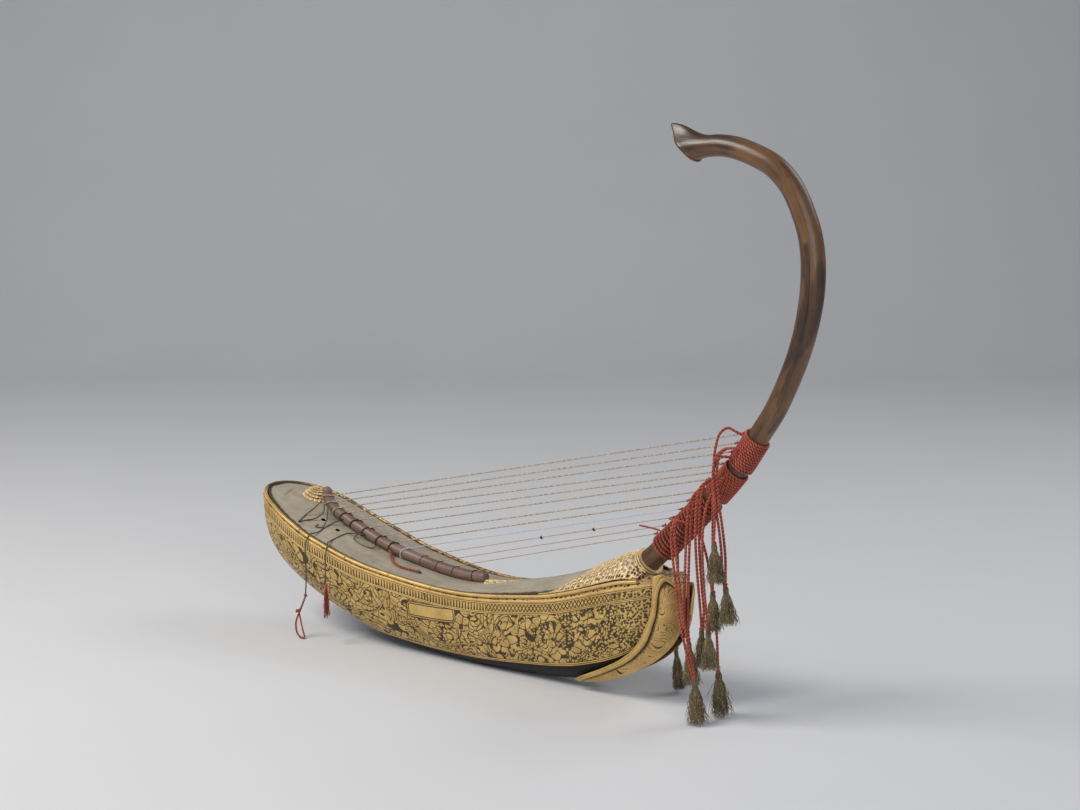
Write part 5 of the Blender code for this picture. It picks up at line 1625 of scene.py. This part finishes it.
def make_neck(materials, path):
    """Curved root-wood neck with a natural split on its hollow side and a leaf at its end."""
    count = 56
    total = path_length(path)
    rows = []
    grain = []
    slit_shade = []

    def ring(place, normal, radius, run):
        row = []
        share = (run - total * HOLLOW_PLACE) / HOLLOW_LENGTH
        for j in range(count):
            angle = 2 * pi * j / count
            lumps = 1.0 + 0.012 * sin(run * 31.0 + 2.0 * angle) + 0.010 * sin(run * 57.0 - angle)
            from_slit = ((angle + HOLLOW_ANGLE + 0.16 * sin(run * 22.0)) + pi) % (2 * pi) - pi
            inside = max(1.0 - (from_slit / 0.26) ** 2, 0.0) if 0.0 < share < 1.0 else 0.0
            inside *= sin(pi * min(max(share, 0.0), 1.0)) ** 0.5
            size = radius * lumps - HOLLOW_DEPTH * inside
            row.append(round_point(place, normal, Y_AXIS, size, angle))
            grain.append((run, radius * cos(angle), radius * sin(angle)))
            # Painted shade in the split, darkest along its edges and less dark in its middle.
            slit_shade.append(min(inside * 4.0, 1.0) * (1.0 - 0.45 * inside))
        rows.append(row)

    base, tangent, normal = along(path, 0.0)
    ring(base - tangent * (NECK_FOOT * 0.5), normal, neck_radius(path, 0.0), 0.0)
    steps = 300
    for k in range(steps + 1):
        distance = total * k / steps
        place, tangent, normal = along(path, distance)
        ring(place, normal, neck_radius(path, distance), distance)
    place, tangent, normal = along(path, total)
    radius = neck_radius(path, total)
    for number, extra in enumerate(finial_rings(place, tangent, normal, radius, count)):
        rows.append(extra)
        for j in range(count):
            angle = 2 * pi * j / count
            grain.append((total + 0.003 * number, radius * cos(angle), radius * sin(angle)))
            slit_shade.append(0.0)
    neck = grid_object("neck_wood", rows, materials["root"], True, True, grain=grain, height=slit_shade)
    return add_piece(neck, nodes=["neck"])


# Strings and ties

STUB_ENDS = ((0.2388, 0.2559), (0.2871, 0.2721))
BEAD_SHARES = (0.303, 0.509)
KNOTTED_TIES = (3, 4, 7, 10)


def tuning_body(index):
    return "tuning_%02d" % (index + 1)


def make_windings(materials, path):
    for index in range(STRING_COUNT):
        number = "_%02d" % (index + 1)
        piece = rope("winding" + number, winding_path(path, index), WIND_ROPE_DIAMETER, materials["red"],
                     depth=0.36, seed=index)
        add_piece(piece, tuning_body(index), ["tuning_cord" + number])


def string_ends(path, index):
    """Where a string leaves its winding, where it meets the top of the bar, and its direction."""
    place, tangent, normal = along(path, wind_middle(index))
    line = bar_line()
    centre, radius, above = bar_frame(line, bar_length(line) * TIE_PLACES[index])
    top = centre + above * (radius + STRING_DIAMETER / 2 + GAP)
    start = place + normal * (wind_radius(path, index) + CORD_DIAMETER / 2)
    return start, top, (top - start).normalized()


def knot_path(middle, size, seed):
    """Small overhand knot."""
    twist = np.random.default_rng(seed).uniform(0, 2 * pi)
    c = cos(twist)
    d = sin(twist)
    points = []
    for k in range(34):
        t = 2 * pi * k / 34
        p = Vector((sin(t) + 2 * sin(2 * t), cos(t) - 2 * cos(2 * t), -sin(3 * t))) * (size / 6)
        points.append(middle + Vector((p.x * c - p.z * d, p.y, p.x * d + p.z * c)))
    return points


def make_strings(materials, path):
    for index in range(STRING_COUNT):
        start, top, aim = string_ends(path, index)
        name = "string_%02d" % (index + 1)
        points = [start + (top - start) * (k / 60) for k in range(61)]
        kind = "nylon" if index == 3 else "gut_pale" if index < 3 else "gut"
        string = rope(name + "_gut", points, STRING_DIAMETER * (1.0 if index < 4 else 1.5), materials[kind],
                      lay=3.4, depth=0.24, sides=8, seed=index + 40, step=0.0011)
        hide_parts(name)
        tuning_body(index)
        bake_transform(string)
        make_tie(materials, index)
        make_string_knot(materials, index, start, aim)


def make_tie(materials, index):
    """Cord that slants over the bar and holds a string, with a small curled end on the near side."""
    kind = "tie_pale" if index < 3 else "nylon" if index == 3 else "gut" if index > 8 else "dark"
    material = materials[kind]
    diameter = TIE_CORD_DIAMETER * (0.65 if index < 3 else 1.15)
    line = bar_line()
    at = bar_length(line) * TIE_PLACES[index]
    slant = np.random.default_rng(index + 7).uniform(0.0030, 0.0062) * (0.4 if index < 3 else 1.0)
    path = []
    for k in range(34):
        angle = 1.9 - 4.1 * k / 33
        near = -sin(min(max(angle, -pi / 2), pi / 2))
        curl = max(k / 33 - 0.82, 0.0) / 0.18
        centre, radius, above = bar_frame(line, at + slant * near - 0.0022 * curl * curl)
        path.append(round_point(centre, above, Y_AXIS, radius + diameter / 2 + 0.0012 * curl, angle))
    pieces = [rope("tie", path, diameter, material, sides=8, seed=index)]
    if index in KNOTTED_TIES:
        centre, radius, above = bar_frame(line, at)
        knot = knot_path(centre + above * radius + Vector((0.0, -0.0015, 0.0008)), 0.0046, index)
        pieces.append(rope("tie", knot, diameter * 0.9, material, sides=8, seed=index))
    return add_piece(join("tie_%02d" % (index + 1), pieces))


def make_string_knot(materials, index, start, aim):
    """Loop of red cord through which a string is knotted at its winding."""
    red = knot_path(start + aim * 0.0026, 0.0052, index + 60)
    dark = knot_path(start + aim * 0.0072, 0.0030, index + 90)
    pieces = [rope("knot", red, 0.0019, materials["red"], sides=8, seed=index),
              rope("knot", dark, 0.0010, materials["dark"], sides=6, seed=index)]
    return add_piece(join("string_knot_%02d" % (index + 1), pieces), tuning_body(index))


def make_beads(materials, path):
    """Two small dark knots on the third string from below."""
    start, top, aim = string_ends(path, 2)
    pieces = [rope("bead", knot_path(start.lerp(top, share), 0.0042, 5), 0.0017, materials["dark"], sides=8)
              for share in BEAD_SHARES]
    return add_piece(join("string_beads", pieces))


def make_spare_tie(materials):
    """Tie round the bar for the missing thirteenth string."""
    line = bar_line()
    turn_points = 24
    loop = []
    for k in range(int(1.15 * turn_points) + 1):
        centre, radius, above = bar_frame(line, SPARE_TIE_SPACE + TIE_PITCH_AXIAL * k / turn_points)
        loop.append(round_point(centre, above, Y_AXIS, radius + 0.0011 / 2, 2 * pi * k / turn_points))
    return add_piece(rope("spare_tie_cord", loop, 0.0012, materials["dark"], sides=8),
                     nodes=["spare_tie"])


def make_cord_stubs(materials):
    """Two ends of red cord that stick out of the windings toward the tail."""
    pieces = []
    for k, (x, z) in enumerate(STUB_ENDS):
        points = [(x + 0.030, -0.0235, z - 0.004), (x + 0.018, -0.0285, z - 0.001), (x, -0.0300, z)]
        pieces.append(rope("stub", smooth_path(points, 24), 0.0028, materials["red"], sides=10, seed=k))
    return add_piece(join("cord_stubs", pieces))


# Tassels and hanging cords

TASSEL_PROFILE = ((0.0, 0.20), (0.05, 0.46), (0.12, 0.56), (0.18, 0.44), (0.30, 0.74), (0.62, 1.02),
                  (0.97, 1.22))
TASSEL_HEAD = 0.20
TASSEL_STRANDS = 230
RED_TASSEL_STRANDS = 46
THREAD_RADIUS = 0.00036
THREAD_POINTS = 15


def tassel(name, node, top, low, diameter, material, head, seed, strands=TASSEL_STRANDS):
    """Tassel: a wound head over a skirt of separate threads."""
    rng = np.random.default_rng(seed)
    top = Vector(top)
    low = Vector(low)
    axis = (low - top).normalized()
    length = (low - top).length
    across = axis.cross(Y_AXIS).normalized()
    side = axis.cross(across)

    def girth(share):
        return diameter / 2 * spline_value(TASSEL_PROFILE, share)

    rings = []
    strand = []
    heights = []
    for i in range(15):
        share = TASSEL_HEAD * i / 14
        size = girth(share) * 0.93
        ring = []
        for j in range(20):
            angle = 2 * pi * j / 20
            thread = cos(angle * 10 + i * 0.8)
            wound = size * (1.0 + 0.05 * thread)
            ring.append(round_point(top + axis * (length * share), across, side, wound, angle))
            strand.append((share * length, size * cos(angle), size * sin(angle)))
            # The wound threads' heights set painted shade between them.
            heights.append(0.6 + 0.4 * thread)
        rings.append(ring)
    pieces = [grid_object("head", rings, head, True, True, strand=strand, height=heights)]
    band = [round_point(top + axis * (length * (0.165 + 0.012 * k / 24)), across, side, diameter * 0.205,
                        2 * pi * k / 24) for k in range(61)]
    pieces.append(rope("band", band, 0.0011, head, sides=6))
    paths = []
    for k in range(strands):
        angle = rng.uniform(0, 2 * pi)
        depth = sqrt(rng.uniform(0.05, 1.0))
        reach = rng.uniform(0.88, 1.0) if rng.uniform() < 0.75 else rng.uniform(0.55, 0.95)
        stray = diameter * 0.60 * rng.uniform() ** 3.0
        curl = rng.uniform(-0.6, 0.6)
        wave = rng.uniform(0, 2 * pi)
        points = []
        for i in range(THREAD_POINTS):
            t = i / (THREAD_POINTS - 1)
            share = 0.10 + (reach - 0.10) * i / (THREAD_POINTS - 1)
            size = girth(share) * 0.95 * depth
            size += diameter * 0.07 * sin(wave + i * 1.9) * t + stray * t ** 1.5
            turned = angle + curl * share + 0.22 * sin(wave * 3.0 + i * 1.6) * t
            points.append(round_point(top + axis * (length * share), across, side, size, turned))
        paths.append(points)
    pieces.append(thin_tubes("threads", paths, THREAD_RADIUS, material, 3))
    return add_piece(join(name, pieces), nodes=[node])


def cord_knot(name, middle, size, diameter, material, seed):
    return add_piece(rope(name, knot_path(middle, size, seed), diameter, material, sides=10, seed=seed))


def declare_cord(points):
    path_length(points)


def make_hanging_cords(materials, path):
    red = materials["red"]
    for number, (winding, degrees, route, low, diameter) in enumerate(HANGING_CORDS, 1):
        body = tuning_body(winding - 1)
        place, tangent, normal = along(path, crown_distance(winding - 1, degrees))
        outer = wind_radius(path, winding - 1) + CORD_DIAMETER / 2 + GAP
        angle = degrees * pi / 180
        away = normal * cos(angle) - Vector((0.0, sin(angle), 0.0))
        start = place + away * outer
        bound = Vector(route[-1])
        core = bound + (Vector(low) - bound).normalized() * TASSEL_CORE
        points = smooth_path([start, start + away * CORD_STUB] + list(route) + [core], 96)
        name = "cord_%d" % number
        shown = [start - away * 0.0022] + points
        cord = rope(name, shown, HANG_ROPE_DIAMETER, red, depth=0.36, seed=number + 20)
        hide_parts("hanging_cord_%d" % number)
        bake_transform(cord)
        skirt = tassel("tassel_threads_%d" % number, "tassel_%d" % number, bound, low, diameter,
                       materials["tassel"], materials["tassel_head"], number)
        knot = cord_knot("tassel_knot_%d" % number, bound, 0.0062, 0.0022, red, number + 30)
        if number in TWIN_CORDS:
            across = Vector((0.0038, 0.0030, 0.0)) * (1 if number % 2 else -1)
            beside = [p + across * min(6.0 * k / 95, 6.0 * (95 - k) / 95, 1.0) for k, p in enumerate(points)]
            twin = rope(name + "_twin", beside, HANG_ROPE_DIAMETER, red, depth=0.36, seed=number + 70)
            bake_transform(twin)
        declare_cord(points)


# Cords at the tail

TAIL_CORD_DIAMETER = THIN_CORD_DIAMETER * 1.35
TAIL_SECOND_TOP = (-0.3740, -0.0120, 0.1950)
TAIL_SECOND_ON_SKIN = ((-0.3690, -0.0240, 0.0100), (-0.3700, -0.0380, 0.0030), (-0.3760, -0.0520, 0.0008))
TAIL_THIRD_TOP = (-0.3640, -0.0150, 0.1900)
TAIL_THIRD_ON_SKIN = ((-0.3560, -0.0290, 0.0060), (-0.3500, -0.0440, 0.0010), (-0.3560, -0.0510, 0.0006),
                      (-0.3590, -0.0430, 0.0006))
SLACK_ON_SKIN = ((-0.3070, -0.0100, 0.0050), (-0.3055, -0.0200, 0.0008), (-0.2871, -0.0236, 0.0005),
                 (-0.2715, -0.0180, 0.0010), (-0.2670, -0.0090, 0.0050))
RED_STRAND = ((-0.3600, -0.0872, 0.0425), (-0.3590, -0.0850, 0.0330), (-0.3570, -0.0845, 0.0223),
              (-0.3530, -0.0850, 0.0110), (-0.3480, -0.0860, 0.0020))
RED_KNOT = (-0.3600, -0.0876, 0.0428)


def cord_route(count, diameter, skin=(), top=(), below=()):
    """Smooth path from a place in the air, over the skin and down past the rim."""
    return smooth_path([Vector(p) for p in top] + on_skin(skin, diameter) + [Vector(p) for p in below], count)


def tail_cord(name, node, points, diameter, material):
    cord = add_piece(rope(name, points, diameter, material, sides=10), nodes=[node])
    declare_cord(points)


def make_cord_roots(materials, ends):
    """Short runs that join the cords on the skin to the bar, each with a knot at the bar."""
    line = bar_line()
    pieces = []
    for number, (start, place, diameter, material) in enumerate(ends):
        centre, radius, above = bar_frame(line, bar_length(line) * place)
        near = centre + Vector((0.0, -radius - diameter * 0.4, -0.0010))
        middle = near.lerp(start, 0.5) + Vector((0.0, 0.0, 0.0006))
        run = smooth_path([near, middle, start], 16)
        pieces.append(rope("root", run, diameter, material, sides=8, seed=number))
        knot = knot_path(near, 0.0052, number + 3)
        pieces.append(rope("root", knot, 0.0017, materials["dark"], sides=8, seed=1))
    return add_piece(join("cord_roots", pieces))


def make_tail_ties(materials):
    """Three thin cords from the bar's hooked end down to a knot on the skin."""
    thin = TAIL_CORD_DIAMETER
    olive = materials["olive"]
    tie = cord_route(60, thin, TAIL_TIE_ON_SKIN, [TAIL_TIE_TOP])
    second = cord_route(50, thin, TAIL_SECOND_ON_SKIN, [TAIL_SECOND_TOP], [tie[-1]])
    add_piece(rope("tail_tie_second", second, thin, olive, sides=8))
    third = cord_route(50, thin, TAIL_THIRD_ON_SKIN, [TAIL_THIRD_TOP])
    add_piece(rope("tail_tie_third", third, thin, olive, sides=8))
    knot = cord_knot("tail_tie_knot", tie[-1] + Vector((0, 0, 0.0009)), 0.0046, 0.0017, olive, 4)
    tail_cord("tail_tie", "tail_cord_tie", tie, thin, olive)
    slack = cord_route(50, thin, SLACK_ON_SKIN)
    add_piece(rope("bar_slack_cord", slack, thin, materials["tie_pale"], sides=8))


def make_tail_cords(materials):
    """Cords that hang over the near rim with a red loop and a red tassel, and a loose red cord."""
    thin = TAIL_CORD_DIAMETER
    olive = materials["olive"]
    red = materials["red"]
    orange = materials["red_orange"]
    make_tail_ties(materials)
    long = cord_route(90, thin, LONG_CORD_ON_SKIN, below=LONG_CORD_BELOW)
    knot = cord_knot("long_cord_knot", long[-1], 0.0048, 0.0017, red, 5)
    tail_cord("tail_cord_dark_long", "tail_cord_long", long, thin, olive)
    loop = smooth_path(RED_LOOP, 60)
    strand = rope("tail_cord_red_strand", smooth_path(RED_STRAND, 40), 0.0027, red, sides=10, seed=8)
    add_piece(strand)
    knot = cord_knot("tail_cord_red_knot", Vector(RED_KNOT), 0.0078, 0.0029, red, 6)
    tail_cord("tail_cord_red_loop", "tail_cord_red", loop, CORD_DIAMETER, red)
    short = cord_route(80, thin, SHORT_CORD_ON_SKIN, below=SHORT_CORD_BELOW)
    skirt = tassel("red_tassel_threads", "red_tail_tassel", short[-1], RED_TASSEL_END, RED_TASSEL_DIAMETER,
                   materials["red_thread"], red, 77, RED_TASSEL_STRANDS)
    tail_cord("tail_cord_dark_short", "tail_cord_short", short, thin, olive)
    make_cord_roots(materials, ((long[0], TIE_PLACES[8], thin, olive),
                                (short[0], TIE_PLACES[6], thin, olive)))
    loose = cord_route(50, LOOSE_ROPE_DIAMETER, LOOSE_CORD_ON_SKIN)
    make_cord_roots(materials, ((loose[0], TIE_PLACES[4], LOOSE_ROPE_DIAMETER, orange),))
    tip = cord_knot("loose_cord_tip", loose[-1], 0.0052, 0.0021, olive, 9)
    tail_cord("loose_cord_on_skin", "loose_red_cord", loose, LOOSE_ROPE_DIAMETER, orange)


# Camera, light and floor

CAMERA_PLACE = Vector((1.7445, -2.1601, 0.8856))
CAMERA_AIM = Vector((-0.6090, 0.7735, -0.1754))
CAMERA_LENS = 65.81
FLOOR_FRONT = -6.0
FLOOR_BEND = 2.6
FLOOR_BEND_RADIUS = 1.4
FLOOR_HALF_WIDTH = 6.0
BACKDROP_HEIGHT = 6.0
WORLD_COLOR = (0.90, 0.93, 1.0, 1.0)
WORLD_STRENGTH = 0.27
LIGHTS = (
    # name, place, aim, side length, watts, colour
    ("key", (-1.2, -1.8, 2.6), (0.0, 0.0, 0.15), 1.4, 82.0, (1.0, 0.96, 0.90)),
    ("fill", (2.2, -1.6, 1.2), (0.0, 0.0, 0.2), 1.6, 20.0, (0.96, 0.97, 1.0)),
    ("rim", (1.2, 1.8, 2.0), (0.1, 0.0, 0.3), 1.2, 15.0, (0.95, 0.97, 1.0)),
)


def put(name, data, place, aim):
    """Camera or light at a place, turned the way it aims."""
    thing = bpy.data.objects.new(name, data)
    thing.location = place
    thing.rotation_euler = Vector(aim).to_track_quat("-Z", "Y").to_euler()
    bpy.context.collection.objects.link(thing)
    return thing


def make_camera():
    data = bpy.data.cameras.new("camera")
    data.lens = CAMERA_LENS
    data.sensor_width = 36.0
    data.sensor_fit = "HORIZONTAL"
    bpy.context.scene.camera = put("camera", data, CAMERA_PLACE, CAMERA_AIM)


def make_lights():
    for name, place, aim, size, watts, color in LIGHTS:
        data = bpy.data.lights.new(name, "AREA")
        data.shape = "RECTANGLE"
        data.size = size
        data.size_y = size
        data.energy = watts
        data.color = color
        put(name, data, place, Vector(aim) - Vector(place))
    world = bpy.data.worlds.new("studio")
    bpy.context.scene.world = world
    world.use_nodes = True
    background = world.node_tree.nodes["Background"]
    background.inputs["Color"].default_value = WORLD_COLOR
    background.inputs["Strength"].default_value = WORLD_STRENGTH


def make_floor():
    """Pale paper that bends up behind the harp, square to the camera's view."""
    n = Nodes("floor_paper")
    color = n.mix(n.noise(n.place(), 3.0, 2.0), (0.62, 0.63, 0.65), (0.66, 0.67, 0.69))
    sweep = [(FLOOR_FRONT, 0.0), (FLOOR_BEND, 0.0)]
    for k in range(1, 13):
        angle = pi / 2 * k / 12
        sweep.append((FLOOR_BEND + FLOOR_BEND_RADIUS * sin(angle),
                      FLOOR_BEND_RADIUS - FLOOR_BEND_RADIUS * cos(angle)))
    sweep.append((FLOOR_BEND + FLOOR_BEND_RADIUS, BACKDROP_HEIGHT))
    back = Vector((CAMERA_AIM.x, CAMERA_AIM.y, 0.0)).normalized()
    side = Vector((back.y, -back.x, 0.0))
    rows = [[back * out + side * w + Vector((0, 0, up)) for w in (-FLOOR_HALF_WIDTH, FLOOR_HALF_WIDTH)]
            for out, up in sweep]
    grid_object("floor", rows, n.finish(color, 0.85, 0.0))


# The whole harp

def make_materials():
    return {
        "field": gilt_field(),
        "relief": gilt_relief("gilt_lines"),
        "rim": gilt_rim(),
        "leaf": gilt_relief("gilt_leaf"),
        "relief_pale": gilt_relief("gilt_beads", paler=0.5),
        "filigree": gilt_relief("gilt_filigree", 0.30, 0.66, 0.6),
        "lace": gilt_lace(),
        "deck": deck_wood(),
        "skin": skin_leather(),
        "black": shade_black(),
        "bar": polished_wood("bar_wood", (0.090, 0.048, 0.036), (0.215, 0.125, 0.096), (0.280, 0.180, 0.145),
                             0.05, 0.46),
        "root": polished_wood("root_wood", (0.016, 0.008, 0.004), (0.118, 0.050, 0.018),
                              (0.215, 0.103, 0.038), 0.14, 0.33, 0.62),
        "red": cord_fibre("red_cord", (0.285, 0.040, 0.024), (0.610, 0.140, 0.078)),
        "red_orange": cord_fibre("orange_red_cord", (0.270, 0.050, 0.025), (0.480, 0.125, 0.065)),
        "red_thread": cord_fibre("red_thread", (0.200, 0.016, 0.012), (0.380, 0.045, 0.030)),
        "dark": cord_fibre("dark_cord", (0.020, 0.016, 0.010), (0.075, 0.062, 0.040)),
        "olive": cord_fibre("olive_cord", (0.055, 0.046, 0.030), (0.165, 0.145, 0.105)),
        "tie_pale": cord_fibre("pale_tie", (0.090, 0.070, 0.045), (0.210, 0.175, 0.120)),
        "tassel": cord_fibre("tassel_thread", (0.066, 0.053, 0.028), (0.280, 0.220, 0.120),
                             (0.560, 0.420, 0.190)),
        "tassel_head": cord_fibre("tassel_head", (0.075, 0.055, 0.030), (0.240, 0.180, 0.100)),
        "gut": gut("gut_string", (0.300, 0.230, 0.150), (0.520, 0.420, 0.290), (0.760, 0.680, 0.520)),
        "gut_pale": gut("gut_string_pale", (0.380, 0.240, 0.160), (0.560, 0.390, 0.270),
                        (0.640, 0.500, 0.370)),
        "nylon": gut("nylon_string", (0.420, 0.470, 0.560), (0.560, 0.610, 0.700), (0.680, 0.720, 0.780)),
    }


def build():
    make_camera()
    materials = make_materials()
    path = neck_path()
    make_hanging_cords(materials, path)
    make_tail_cords(materials)
    for make in (make_hull, make_hull_lines, make_rim, make_shoulder_relief, make_bar_relief):
        make(materials)
    make_leaf(materials, "leaf_carving_near", "stem_leaf_near", -1)
    make_leaf(materials, "leaf_carving_far", "stem_leaf_far", 1)
    make_collar(materials, path)
    for make in (make_rosette, make_skin, make_skin_tear, make_bar):
        make(materials)
    for make in (make_neck, make_windings, make_strings, make_beads):
        make(materials, path)
    make_spare_tie(materials)
    make_cord_stubs(materials)
    make_floor()
    make_lights()


build()
bpy.context.scene.view_settings.view_transform = "Standard"
